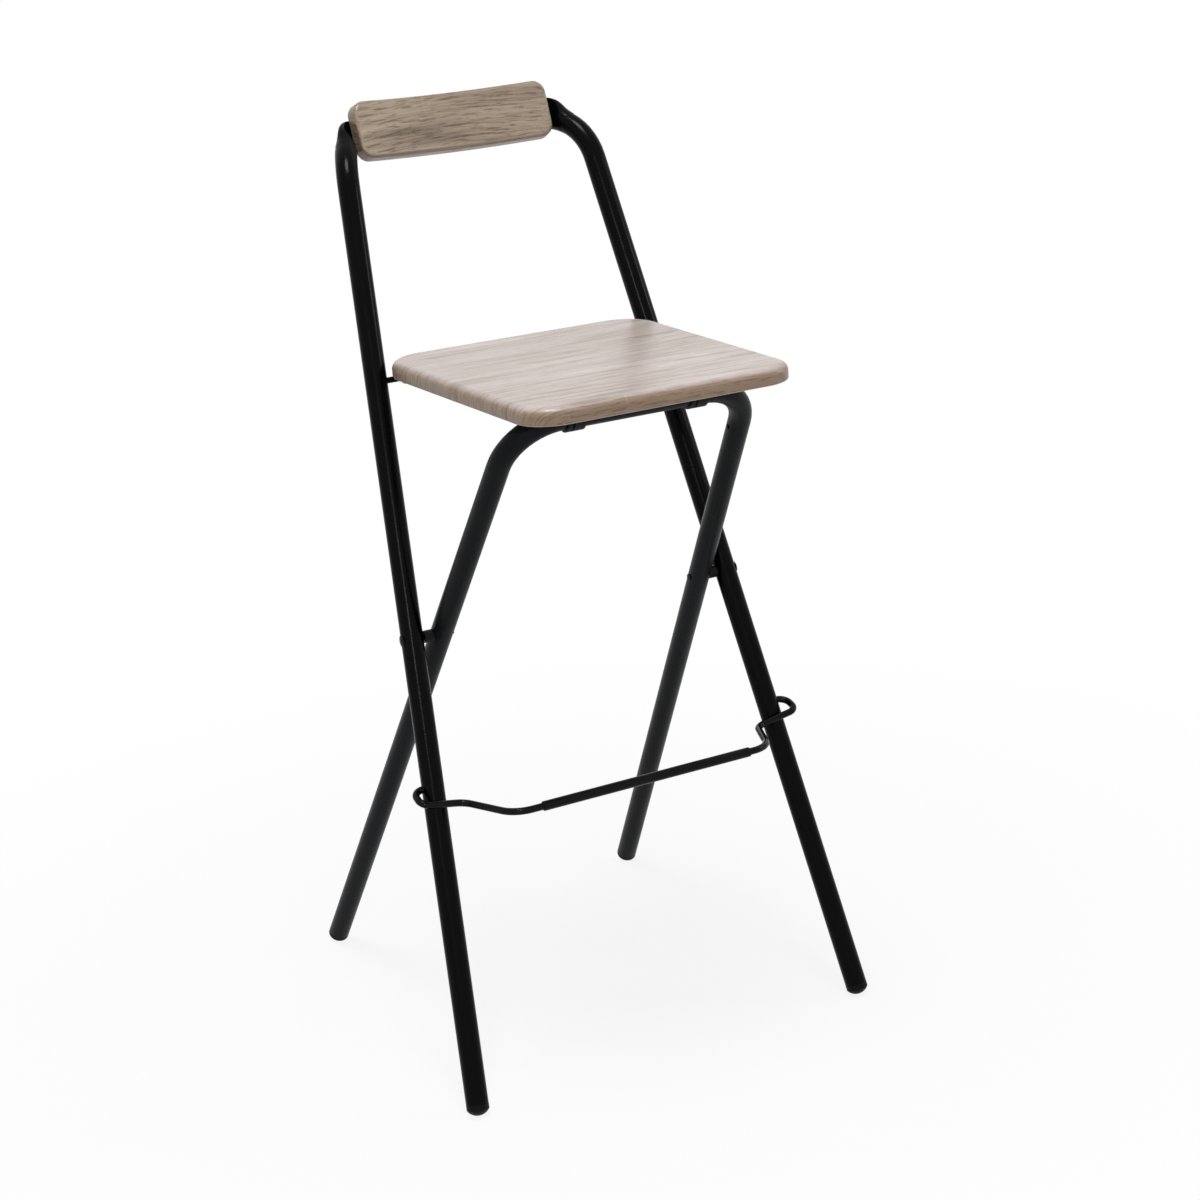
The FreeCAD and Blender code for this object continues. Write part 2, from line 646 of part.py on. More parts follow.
def make_foot_cap(name, point, half, splay, lean, side):
    body = doc.addObject("PartDesign::Body", name + "_body")
    sketch = new_sketch(body, "XZ_Plane", name + "_section")
    big = foot_radius
    rim = math.sqrt(big ** 2 - tube_r ** 2)
    lip = size("foot_lip")
    plug_r = tube_r - size("tube_wall") - size("close_fit")
    bore_r = plug_r - size("foot_plug_wall")
    top = lip - rim
    high = top + size("foot_plug_length")
    points = [
        (0.0, -big),
        (tube_r, -rim),
        (tube_r, top),
        (plug_r, top),
        (plug_r, high - 1.0),
        (plug_r - 1.0, high),
        (bore_r, high),
        (bore_r, top + 2.0),
        (0.0, top + 2.0),
    ]
    turn = math.atan2(-rim, tube_r)
    circle = Part.Circle(Vector(0, 0, 0), Vector(0, 0, 1), big)
    dome = sketch.addGeometry(Part.ArcOfCircle(circle, -math.pi / 2.0, turn), False)
    chain = [dome]
    for i in range(1, len(points)):
        a = points[i]
        b = points[(i + 1) % len(points)]
        line = Part.LineSegment(Vector(a[0], a[1], 0), Vector(b[0], b[1], 0))
        chain.append(sketch.addGeometry(line, False))
    for i in range(len(chain)):
        here = chain[i]
        there = chain[(i + 1) % len(chain)]
        sketch.addConstraint(Sketcher.Constraint("Coincident", here, 2, there, 1))
    sketch.addConstraint(Sketcher.Constraint("Coincident", dome, 3, -1, 1))
    sketch.addConstraint(Sketcher.Constraint("PointOnObject", dome, 1, -2))
    k = sketch.addConstraint(Sketcher.Constraint("Radius", dome, big))
    sketch.renameConstraint(k, "dome")
    sketch.setExpression("Constraints.dome", "sizes.tube_diameter / 2 + sizes.foot_bulge")
    vertical = [1, 3, 6]
    level = [2, 5, 7]
    for i in vertical:
        sketch.addConstraint(Sketcher.Constraint("Vertical", chain[i]))
    for i in level:
        sketch.addConstraint(Sketcher.Constraint("Horizontal", chain[i]))
    sketch.addConstraint(Sketcher.Constraint("PointOnObject", chain[8], 1, -2))

    def tied(kind, geo, end, value, label, formula):
        c = Sketcher.Constraint(kind, -1, 1, geo, end, value)
        if value < 0:
            c = Sketcher.Constraint(kind, geo, end, -1, 1, -value)
        index = sketch.addConstraint(c)
        sketch.renameConstraint(index, label)
        sketch.setExpression("Constraints." + label, formula)

    inner = "sizes.tube_diameter / 2 - sizes.tube_wall - sizes.close_fit"
    length_rule = "sizes.foot_lip"
    tied("DistanceX", chain[1], 1, tube_r, "lip_radius", "sizes.tube_diameter / 2")
    tied("DistanceX", chain[3], 1, plug_r, "plug_radius", inner)
    tied("DistanceX", chain[6], 1, bore_r, "bore_radius", inner + " - sizes.foot_plug_wall")
    k = sketch.addConstraint(Sketcher.Constraint("Distance", chain[1], lip))
    sketch.renameConstraint(k, "lip_height")
    sketch.setExpression("Constraints.lip_height", length_rule)
    k = sketch.addConstraint(Sketcher.Constraint("Distance", chain[3], high - 1.0 - top))
    sketch.renameConstraint(k, "plug_height")
    sketch.setExpression("Constraints.plug_height", "sizes.foot_plug_length - 1")
    k = sketch.addConstraint(Sketcher.Constraint("DistanceX", chain[5], 1, chain[3], 1, 1.0))
    k = sketch.addConstraint(Sketcher.Constraint("DistanceY", chain[3], 2, chain[5], 1, 1.0))
    k = sketch.addConstraint(Sketcher.Constraint("DistanceY", chain[2], 1, chain[7], 1, 2.0))
    turned = body.newObject("PartDesign::Revolution", name + "_turned")
    turned.Profile = sketch
    turned.ReferenceAxis = (sketch, ["V_Axis"])
    turned.Angle = 360.0
    doc.recompute()
    centre = foot_radius / math.cos(lean)
    axis = leg_axis(point, half, side)
    place = point(side * half(centre), centre, 0.0)
    body.Placement = FreeCAD.Placement(place, FreeCAD.Rotation(Vector(0, 0, 1), axis))
    body.Label = name
    return body


# Rivet that joins the frames: domed head outside, shank, pressed tail inside.

def rivet_span():
    outer = pivot_half(back_half, back_lean) + tube_r
    inner = pivot_half(leg_half, leg_lean) - tube_r
    return outer, inner


def pivot_half(half, lean):
    return half(pivot_z / math.cos(lean))


def make_pivot_rivet(name, side):
    body = doc.addObject("PartDesign::Body", name + "_body")
    sketch = new_sketch(body, "XY_Plane", name + "_section")
    outer, inner = rivet_span()
    head_r = size("rivet_head_diameter") / 2.0
    head_h = size("rivet_head_height")
    tail_r = size("rivet_tail_diameter") / 2.0
    tail_h = size("rivet_tail_height")
    # the head reaches past the tube's crown and is hollowed to fit it; the tail
    # is flat and clears the turning leg, whose side slants across it
    start = outer - 1.0
    stop = inner - tail_r * math.tan(leg_splay) / math.cos(leg_lean) - size("seat_gap") / 2.0
    top = outer + head_h
    thick = top - start - 1.0
    ball = (head_r ** 2 + thick ** 2) / (2.0 * thick)
    rise = math.asin(head_r / ball)
    centre = top - ball
    circle = Part.Circle(Vector(centre, 0, 0), Vector(0, 0, 1), ball)
    dome = sketch.addGeometry(Part.ArcOfCircle(circle, 0.0, rise), False)
    points = [
        (top - thick, head_r),
        (start, head_r),
        (start, pin_r),
        (stop, pin_r),
        (stop, tail_r),
        (stop - tail_h * 0.5, tail_r),
        (stop - tail_h, tail_r - tail_h * 0.5),
        (stop - tail_h, 0.0),
        (top, 0.0),
    ]
    chain = [dome]
    for i in range(len(points) - 1):
        a = points[i]
        b = points[i + 1]
        line = Part.LineSegment(Vector(a[0], a[1], 0), Vector(b[0], b[1], 0))
        chain.append(sketch.addGeometry(line, False))
    sketch.addConstraint(Sketcher.Constraint("Coincident", dome, 2, chain[1], 1))
    for i in range(1, len(chain) - 1):
        link = Sketcher.Constraint("Coincident", chain[i], 2, chain[i + 1], 1)
        sketch.addConstraint(link)
    sketch.addConstraint(Sketcher.Constraint("Coincident", chain[-1], 2, dome, 1))
    for i in (1, 3, 5):
        sketch.addConstraint(Sketcher.Constraint("Horizontal", chain[i]))
    for i in (2, 4, 7):
        sketch.addConstraint(Sketcher.Constraint("Vertical", chain[i]))
    k = sketch.addConstraint(Sketcher.Constraint("DistanceY", -1, 1, chain[3], 1, pin_r))
    sketch.renameConstraint(k, "shank")
    sketch.setExpression("Constraints.shank", "sizes.pivot_pin_diameter / 2")
    k = sketch.addConstraint(Sketcher.Constraint("DistanceY", -1, 1, chain[1], 1, head_r))
    sketch.renameConstraint(k, "head")
    sketch.setExpression("Constraints.head", "sizes.rivet_head_diameter / 2")
    k = sketch.addConstraint(Sketcher.Constraint("DistanceY", -1, 1, chain[5], 1, tail_r))
    sketch.renameConstraint(k, "tail")
    sketch.setExpression("Constraints.tail", "sizes.rivet_tail_diameter / 2")
    turned = body.newObject("PartDesign::Revolution", name + "_turned")
    turned.Profile = sketch
    turned.ReferenceAxis = (sketch, ["H_Axis"])
    turned.Angle = 360.0
    doc.recompute()
    turn = FreeCAD.Rotation()
    if side < 0:
        turn = FreeCAD.Rotation(Vector(0, 0, 1), 180.0)
    body.Placement = FreeCAD.Placement(Vector(0, pivot_y, pivot_z), turn)
    body.Label = name + "_blank"
    # the tube's outside, less the pin, hollows out the head
    tube = doc.addObject("Part::Cylinder", name + "_round")
    tie(tube, "Radius", "sizes.tube_diameter / 2 + sizes.close_fit")
    tube.Height = 80.0
    axis = leg_axis(back_point, back_half, side)
    middle = pivot_z / math.cos(back_lean)
    low = back_point(side * back_half(middle), middle, 0.0) - axis * 40.0
    tube.Placement = FreeCAD.Placement(low, FreeCAD.Rotation(Vector(0, 0, 1), axis))
    pin = doc.addObject("Part::Cylinder", name + "_pin")
    tie(pin, "Radius", "sizes.pivot_pin_diameter / 2 + 0.001")
    pin.Height = 240.0
    across = FreeCAD.Rotation(Vector(0, 0, 1), Vector(side, 0, 0))
    pin.Placement = FreeCAD.Placement(Vector(0, pivot_y, pivot_z), across)
    hollow = doc.addObject("Part::Cut", name + "_hollow")
    hollow.Base = tube
    hollow.Tool = pin
    rivet = doc.addObject("Part::Cut", name)
    rivet.Base = body
    rivet.Tool = hollow
    rivet.Label = name
    return rivet


# Leg frame tube: two legs and the hinge bar in one plane, bent at two corners.

def leg_corner():
    level = bar_z / math.cos(leg_lean)
    return level, leg_half(level)


def make_leg_frame_tube():
    body = doc.addObject("PartDesign::Body", "leg_frame_bend")
    level, half = leg_corner()
    start = foot_end(leg_foot_half, leg_splay, leg_lean)
    run = (level - start) / math.cos(leg_splay)
    bend = size("leg_bend_radius")
    turn = math.pi / 2.0 - leg_splay
    reach = bend * math.tan(turn / 2.0)
    path = new_sketch(body, "XY_Plane", "leg_frame_route")
    # the route is drawn with the left leg upright; the bar then rises by the splay
    bar_dir = Vector(math.cos(leg_splay), math.sin(leg_splay), 0)
    up = Vector(0, 1, 0)
    corner_a = Vector(0, run, 0)
    corner_b = corner_a + bar_dir * (2.0 * half)
    down = Vector(math.sin(2.0 * leg_splay), -math.cos(2.0 * leg_splay), 0)
    end = corner_b + down * run
    points = [Vector(0, 0, 0), corner_a, corner_b, end]
    drawn = rounded_path(points, [bend, bend])
    kinds = []
    for edge in drawn:
        p0 = edge.valueAt(edge.FirstParameter)
        p2 = edge.valueAt(edge.LastParameter)
        pm = edge.valueAt((edge.FirstParameter + edge.LastParameter) / 2.0)
        straight = (pm - (p0 + p2) * 0.5).Length < 0.001
        if straight:
            kinds.append(path.addGeometry(Part.LineSegment(p0, p2), False))
        else:
            kinds.append(path.addGeometry(Part.Arc(p0, pm, p2), False))
    path.addConstraint(Sketcher.Constraint("Coincident", kinds[0], 1, -1, 1))
    path.addConstraint(Sketcher.Constraint("Vertical", kinds[0]))

    def near_end(geo, point):
        first = path.getPoint(geo, 1)
        return 1 if (first - point).Length < 0.01 else 2

    joints = []
    for i in range(4):
        edge = drawn[i]
        point = edge.valueAt(edge.LastParameter)
        joints.append((kinds[i], near_end(kinds[i], point), kinds[i + 1], near_end(kinds[i + 1], point)))
    for a, ea, b, eb in joints:
        path.addConstraint(Sketcher.Constraint("Tangent", a, ea, b, eb))
    path.addConstraint(Sketcher.Constraint("Equal", kinds[1], kinds[3]))
    path.addConstraint(Sketcher.Constraint("Equal", kinds[0], kinds[4]))
    k = path.addConstraint(Sketcher.Constraint("Radius", kinds[1], bend))
    path.renameConstraint(k, "bend")
    path.setExpression("Constraints.bend", "sizes.leg_bend_radius")
    straight_leg = run - reach
    straight_bar = 2.0 * (half - reach)
    k = path.addConstraint(Sketcher.Constraint("Distance", kinds[0], straight_leg))
    path.renameConstraint(k, "leg_run")
    k = path.addConstraint(Sketcher.Constraint("Distance", kinds[2], straight_bar))
    path.renameConstraint(k, "bar_run")
    k = path.addConstraint(Sketcher.Constraint("Angle", kinds[2], leg_splay))
    path.renameConstraint(k, "bar_rise")
    path.setExpression("Constraints.bar_rise", "sizes.leg_splay * 1deg")
    section = new_sketch(body, "XZ_Plane", "leg_frame_section")
    add_circle(section, 0, 0, tube_r, "outside", "0", "0", "sizes.tube_diameter / 2")
    inside = "sizes.tube_diameter / 2 - sizes.tube_wall"
    add_circle(section, 0, 0, tube_r - size("tube_wall"), "inside", "0", "0", inside)
    doc.recompute()
    pipe = body.newObject("PartDesign::AdditivePipe", "leg_frame_pipe")
    pipe.Profile = section
    pipe.Spine = path
    doc.recompute()
    body.Tip = pipe
    low = leg_point(-leg_half(start), start, 0.0)
    local_y = leg_axis(leg_point, leg_half, -1)
    bar_x = Vector(1, 0, 0)
    normal = unit(bar_x.cross(local_y))
    local_x = unit(local_y.cross(normal))
    turn = FreeCAD.Rotation(local_x, local_y, normal, "ZXY")
    body.Placement = FreeCAD.Placement(low, turn)
    body.Label = "leg_frame_bent_tube"
    doc.recompute()
    # holes through both walls for the pivot rivets, which run free here
    span = leg_foot_half * 2.4
    pins = doc.addObject("Part::Cylinder", "leg_pivot_holes")
    tie(pins, "Radius", "sizes.pivot_pin_diameter / 2 + sizes.running_fit")
    pins.Height = span
    across = FreeCAD.Rotation(Vector(0, 0, 1), Vector(1, 0, 0))
    pins.Placement = FreeCAD.Placement(Vector(-span / 2.0, pivot_y, pivot_z), across)
    # small vent hole in the inner wall below the right bend
    vent = doc.addObject("Part::Cylinder", "leg_vent_hole")
    tie(vent, "Radius", "sizes.vent_diameter / 2")
    s_vent = level - reach - 6.0
    vent.Height = tube_r + 4.0
    inward = FreeCAD.Rotation(Vector(0, 0, 1), Vector(-1, 0, 0))
    vent.Placement = FreeCAD.Placement(leg_point(leg_half(s_vent), s_vent, 0.0), inward)
    bored = doc.addObject("Part::Cut", "leg_frame_bored")
    bored.Base = body
    bored.Tool = pins
    tube = doc.addObject("Part::Cut", "leg_frame_tube")
    tube.Base = bored
    tube.Tool = vent
    tube.Label = "leg_frame_tube"
    return tube


# Spacer between the frames at each pivot, hollowed to sit on the leg frame tube.

def make_pivot_spacer(name, side):
    outer_leg = pivot_half(leg_half, leg_lean)
    inner_back = pivot_half(back_half, back_lean)
    slant = math.tan(back_splay) / math.cos(back_lean) * size("spacer_diameter") / 2.0
    face = inner_back - tube_r - slant - size("seat_gap") / 2.0
    start = outer_leg + tube_r * 0.6
    blank = doc.addObject("Part::Cylinder", name + "_blank")
    tie(blank, "Radius", "sizes.spacer_diameter / 2")
    blank.Height = face - start
    turn = FreeCAD.Rotation(Vector(0, 0, 1), Vector(side, 0, 0))
    blank.Placement = FreeCAD.Placement(Vector(side * start, pivot_y, pivot_z), turn)
    tube = doc.addObject("Part::Cylinder", name + "_saddle")
    tie(tube, "Radius", "sizes.tube_diameter / 2 + sizes.close_fit")
    tube.Height = 120.0
    axis = leg_axis(leg_point, leg_half, side)
    middle = pivot_z / math.cos(leg_lean)
    low = leg_point(side * leg_half(middle), middle, 0.0) - axis * 60.0
    tube.Placement = FreeCAD.Placement(low, FreeCAD.Rotation(Vector(0, 0, 1), axis))
    bore = doc.addObject("Part::Cylinder", name + "_bore")
    tie(bore, "Radius", "sizes.pivot_pin_diameter / 2 + sizes.running_fit")
    bore.Height = 80.0
    bore.Placement = FreeCAD.Placement(Vector(side * (start - 30.0), pivot_y, pivot_z), turn)
    saddle = doc.addObject("Part::Cut", name + "_fitted")
    saddle.Base = blank
    saddle.Tool = tube
    spacer = doc.addObject("Part::Cut", name)
    spacer.Base = saddle
    spacer.Tool = bore
    spacer.Label = name
    return spacer


# Seat board: a little wider at the rear, big corner radii, softly rounded top edge.

def make_seat_board():
    body = doc.addObject("PartDesign::Body", "seat_body")
    sketch = new_sketch(body, "XY_Plane", "seat_outline")
    depth = seat_depth
    rear = size("seat_rear_half")
    front = rear - size("seat_taper")
    points = [(-front, 0), (front, 0), (rear, depth), (-rear, depth)]
    outline(sketch, points)
    pin_point(sketch, 1, 1, "front_right", "sizes.seat_rear_half - sizes.seat_taper", "0")
    pin_point(sketch, 1, 2, "rear_right", "sizes.seat_rear_half", "%.6f mm" % depth)
    sketch.addConstraint(Sketcher.Constraint("Symmetric", 0, 1, 0, 2, -2))
    sketch.addConstraint(Sketcher.Constraint("Symmetric", 2, 1, 2, 2, -2))
    slab = pad(body, sketch, "seat_slab", "sizes.seat_thickness", False)

    def upright(edge):
        return edge.BoundBox.ZLength > size("seat_thickness") - 0.01

    def front_corner(edge):
        return upright(edge) and edge.BoundBox.Center.y < 0.1

    def rear_corner(edge):
        return upright(edge) and edge.BoundBox.Center.y > depth - 0.1

    ahead = fillet(body, slab, "seat_front_corners", front_corner, "sizes.seat_front_radius")
    corners = fillet(body, ahead, "seat_rear_corners", rear_corner, "sizes.seat_rear_radius")
    top = size("seat_thickness")

    def on_top(edge):
        box = edge.BoundBox
        return box.ZMin > top - 0.001

    soft = fillet(body, corners, "seat_top_edge", on_top, "sizes.seat_top_round")

    def on_bottom(edge):
        return edge.BoundBox.ZMax < 0.001

    under = fillet(body, soft, "seat_bottom_edge", on_bottom, "sizes.seat_bottom_round")
    doc.recompute()
    # blind pilot holes under the hinge clips and under the hooks, mirrored across
    hinge = size("seat_front_overhang")
    hook_rule = "sizes.seat_rear_half - sizes.hook_inset"
    hook_middle = hook_screw_middle() - seat_front_y
    pairs = [
        ("clip", "sizes.clip_spacing / 2", size("clip_spacing") / 2.0, hinge, size("clip_screw_spacing")),
        ("hook", hook_rule, hook_spacing / 2.0, hook_middle, size("hook_screw_spacing")),
    ]
    previous = under
    for label, x_rule, x, y, gap in pairs:
        holes = new_sketch(body, "XY_Plane", "seat_%s_pilots" % label)
        for sign in (-1, 1):
            place = y + sign * gap / 2.0
            circle = Part.Circle(Vector(x, place, 0), Vector(0, 0, 1), 2.05)
            geo = holes.addGeometry(circle, False)
            k = holes.addConstraint(Sketcher.Constraint("Radius", geo, 2.05))
            tag = "pilot%d" % (sign + 1)
            holes.renameConstraint(k, tag)
            holes.setExpression("Constraints." + tag, "sizes.screw_diameter / 2 + 0.05")
            k = holes.addConstraint(Sketcher.Constraint("DistanceX", -1, 1, geo, 3, x))
            tag = "across%d" % (sign + 1)
            holes.renameConstraint(k, tag)
            holes.setExpression("Constraints." + tag, x_rule)
            k = holes.addConstraint(Sketcher.Constraint("DistanceY", -1, 1, geo, 3, place))
        before = previous.Shape.Volume
        pocket = body.newObject("PartDesign::Pocket", "seat_%s_holes" % label)
        pocket.Profile = holes
        pocket.Length = size("screw_length") - 1.0
        doc.recompute()
        if pocket.Shape.Volume > before - 10.0:
            pocket.Reversed = True
            doc.recompute()
        mirror = body.newObject("PartDesign::Mirrored", "seat_%s_holes_left" % label)
        mirror.Originals = [pocket]
        mirror.MirrorPlane = (origin_plane(body, "YZ_Plane"), [""])
        body.Tip = mirror
        doc.recompute()
        previous = mirror
    body.Placement = FreeCAD.Placement(Vector(0, seat_front_y, seat_under), FreeCAD.Rotation())
    body.Label = "seat_board"
    return body


def hook_screw_middle():
    return rod_y - size("hook_length") * 0.56


# Hinge clip: a moulded saddle round the hinge bar, with straight sides and two
# flat ears that are screwed to the seat.

def make_hinge_clip(name, side):
    body = doc.addObject("PartDesign::Body", name + "_body")
    sketch = new_sketch(body, "YZ_Plane", name + "_section")
    bore = tube_r + size("running_fit")
    ring = bore + size("clip_wall")
    top = bore + size("clip_web")
    low = top - size("clip_base")
    half = size("clip_base_length") / 2.0
    side_line = [(ring, 0.0), (ring, low), (half, low), (half, top)]
    mirrored = [(-y, z) for y, z in reversed(side_line)]
    points = side_line + mirrored
    chain = []
    for i in range(len(points) - 1):
        a = points[i]
        b = points[i + 1]
        line = Part.LineSegment(Vector(a[0], a[1], 0), Vector(b[0], b[1], 0))
        chain.append(sketch.addGeometry(line, False))
    circle = Part.Circle(Vector(0, 0, 0), Vector(0, 0, 1), ring)
    arc = Part.ArcOfCircle(circle, math.pi, 2.0 * math.pi)
    round_part = sketch.addGeometry(arc, False)
    for i in range(6):
        sketch.addConstraint(Sketcher.Constraint("Coincident", chain[i], 2, chain[i + 1], 1))
    sketch.addConstraint(Sketcher.Constraint("Tangent", chain[6], 2, round_part, 1))
    sketch.addConstraint(Sketcher.Constraint("Tangent", round_part, 2, chain[0], 1))
    sketch.addConstraint(Sketcher.Constraint("Coincident", round_part, 3, -1, 1))
    for i in (1, 5):
        sketch.addConstraint(Sketcher.Constraint("Horizontal", chain[i]))
    for i in (0, 2, 4, 6):
        sketch.addConstraint(Sketcher.Constraint("Vertical", chain[i]))
    sketch.addConstraint(Sketcher.Constraint("Symmetric", chain[3], 1, chain[3], 2, -2))
    sketch.addConstraint(Sketcher.Constraint("Equal", chain[2], chain[4]))
    k = sketch.addConstraint(Sketcher.Constraint("Radius", round_part, ring))
    sketch.renameConstraint(k, "collar")
    fit = "sizes.tube_diameter / 2 + sizes.running_fit"
    sketch.setExpression("Constraints.collar", fit + " + sizes.clip_wall")
    k = sketch.addConstraint(Sketcher.Constraint("DistanceY", -1, 1, chain[3], 1, top))
    sketch.renameConstraint(k, "base_top")
    sketch.setExpression("Constraints.base_top", fit + " + sizes.clip_web")
    k = sketch.addConstraint(Sketcher.Constraint("Distance", chain[2], top - low))
    sketch.renameConstraint(k, "base_thick")
    sketch.setExpression("Constraints.base_thick", "sizes.clip_base")
    k = sketch.addConstraint(Sketcher.Constraint("Distance", chain[3], 2.0 * half))
    sketch.renameConstraint(k, "base_length")
    sketch.setExpression("Constraints.base_length", "sizes.clip_base_length")
    add_circle(sketch, 0, 0, bore, "bore", "0", "0", fit)
    collar = pad(body, sketch, name + "_collar", "sizes.clip_width", True)
    doc.recompute()
    holes = new_sketch(body, "XY_Plane", name + "_holes")
    gap = size("clip_screw_spacing") / 2.0
    for sign in (-1, 1):
        circle = Part.Circle(Vector(0, sign * gap, 0), Vector(0, 0, 1), 2.3)
        geo = holes.addGeometry(circle, False)
        holes.addConstraint(Sketcher.Constraint("PointOnObject", geo, 3, -2))
        k = holes.addConstraint(Sketcher.Constraint("Radius", geo, 2.3))
        tag = "hole%d" % (sign + 1)
        holes.renameConstraint(k, tag)
        holes.setExpression("Constraints." + tag, "sizes.screw_diameter / 2 + 0.25")
        if sign > 0:
            spot = Sketcher.Constraint("DistanceY", -1, 1, geo, 3, gap)
        else:
            spot = Sketcher.Constraint("DistanceY", geo, 3, -1, 1, gap)
        k = holes.addConstraint(spot)
        tag = "place%d" % (sign + 1)
        holes.renameConstraint(k, tag)
        holes.setExpression("Constraints." + tag, "sizes.clip_screw_spacing / 2")
    before = collar.Shape.Volume
    pocket = body.newObject("PartDesign::Pocket", name + "_drilled")
    pocket.Profile = holes
    pocket.Length = 30.0
    doc.recompute()
    if pocket.Shape.Volume > before - 5.0:
        pocket.Reversed = True
        doc.recompute()

    # narrow groove across the saddle near its left end, up to the ears
    ring_sketch = new_sketch(body, "XY_Plane", name + "_groove_section")
    x0 = -size("clip_width") / 2.0 + size("clip_groove_place")
    x1 = x0 + size("clip_groove_width")
    y0 = ring - size("clip_wall") * 0.6
    y1 = math.hypot(ring, low) - 0.4
    outline(ring_sketch, [(x0, y0), (x1, y0), (x1, y1), (x0, y1)])
    for i in (0, 2):
        ring_sketch.addConstraint(Sketcher.Constraint("Horizontal", i))
    for i in (1, 3):
        ring_sketch.addConstraint(Sketcher.Constraint("Vertical", i))
    k = ring_sketch.addConstraint(Sketcher.Constraint("Distance", 0, x1 - x0))
    ring_sketch.renameConstraint(k, "wide")
    ring_sketch.setExpression("Constraints.wide", "sizes.clip_groove_width")
    k = ring_sketch.addConstraint(Sketcher.Constraint("DistanceX", 0, 1, -1, 1, -x0))
    ring_sketch.renameConstraint(k, "place")
    place_rule = "sizes.clip_width / 2 - sizes.clip_groove_place"
    ring_sketch.setExpression("Constraints.place", place_rule)
    k = ring_sketch.addConstraint(Sketcher.Constraint("DistanceY", -1, 1, 0, 1, y0))
    ring_sketch.renameConstraint(k, "floor")
    ring_sketch.setExpression("Constraints.floor", fit + " + sizes.clip_wall * 0.4")
    ring_sketch.addConstraint(Sketcher.Constraint("Distance", 1, y1 - y0))
    groove = body.newObject("PartDesign::Groove", name + "_groove")
    groove.Profile = ring_sketch
    groove.ReferenceAxis = (ring_sketch, ["H_Axis"])
    groove.Angle = 360.0
    doc.recompute()
    body.Tip = groove
    x = side * size("clip_spacing") / 2.0
    body.Placement = FreeCAD.Placement(Vector(x, bar_y, bar_z), FreeCAD.Rotation())
    body.Label = name
    return body


def make_hinge_clip_screws():
    one = screw_shape(size("screw_length"))
    solids = []
    head_at = seat_under - size("clip_base")
    for side in (-1, 1):
        for sign in (-1, 1):
            x = side * size("clip_spacing") / 2.0
            y = bar_y + sign * size("clip_screw_spacing") / 2.0
            solids.append(placed(one, Vector(x, y, head_at), Vector(0, 0, 1)))
    return plain("hinge_clip_screws", Part.makeCompound(solids))


# Seat hook: a bent steel plate under the seat whose lip drops behind the rod.

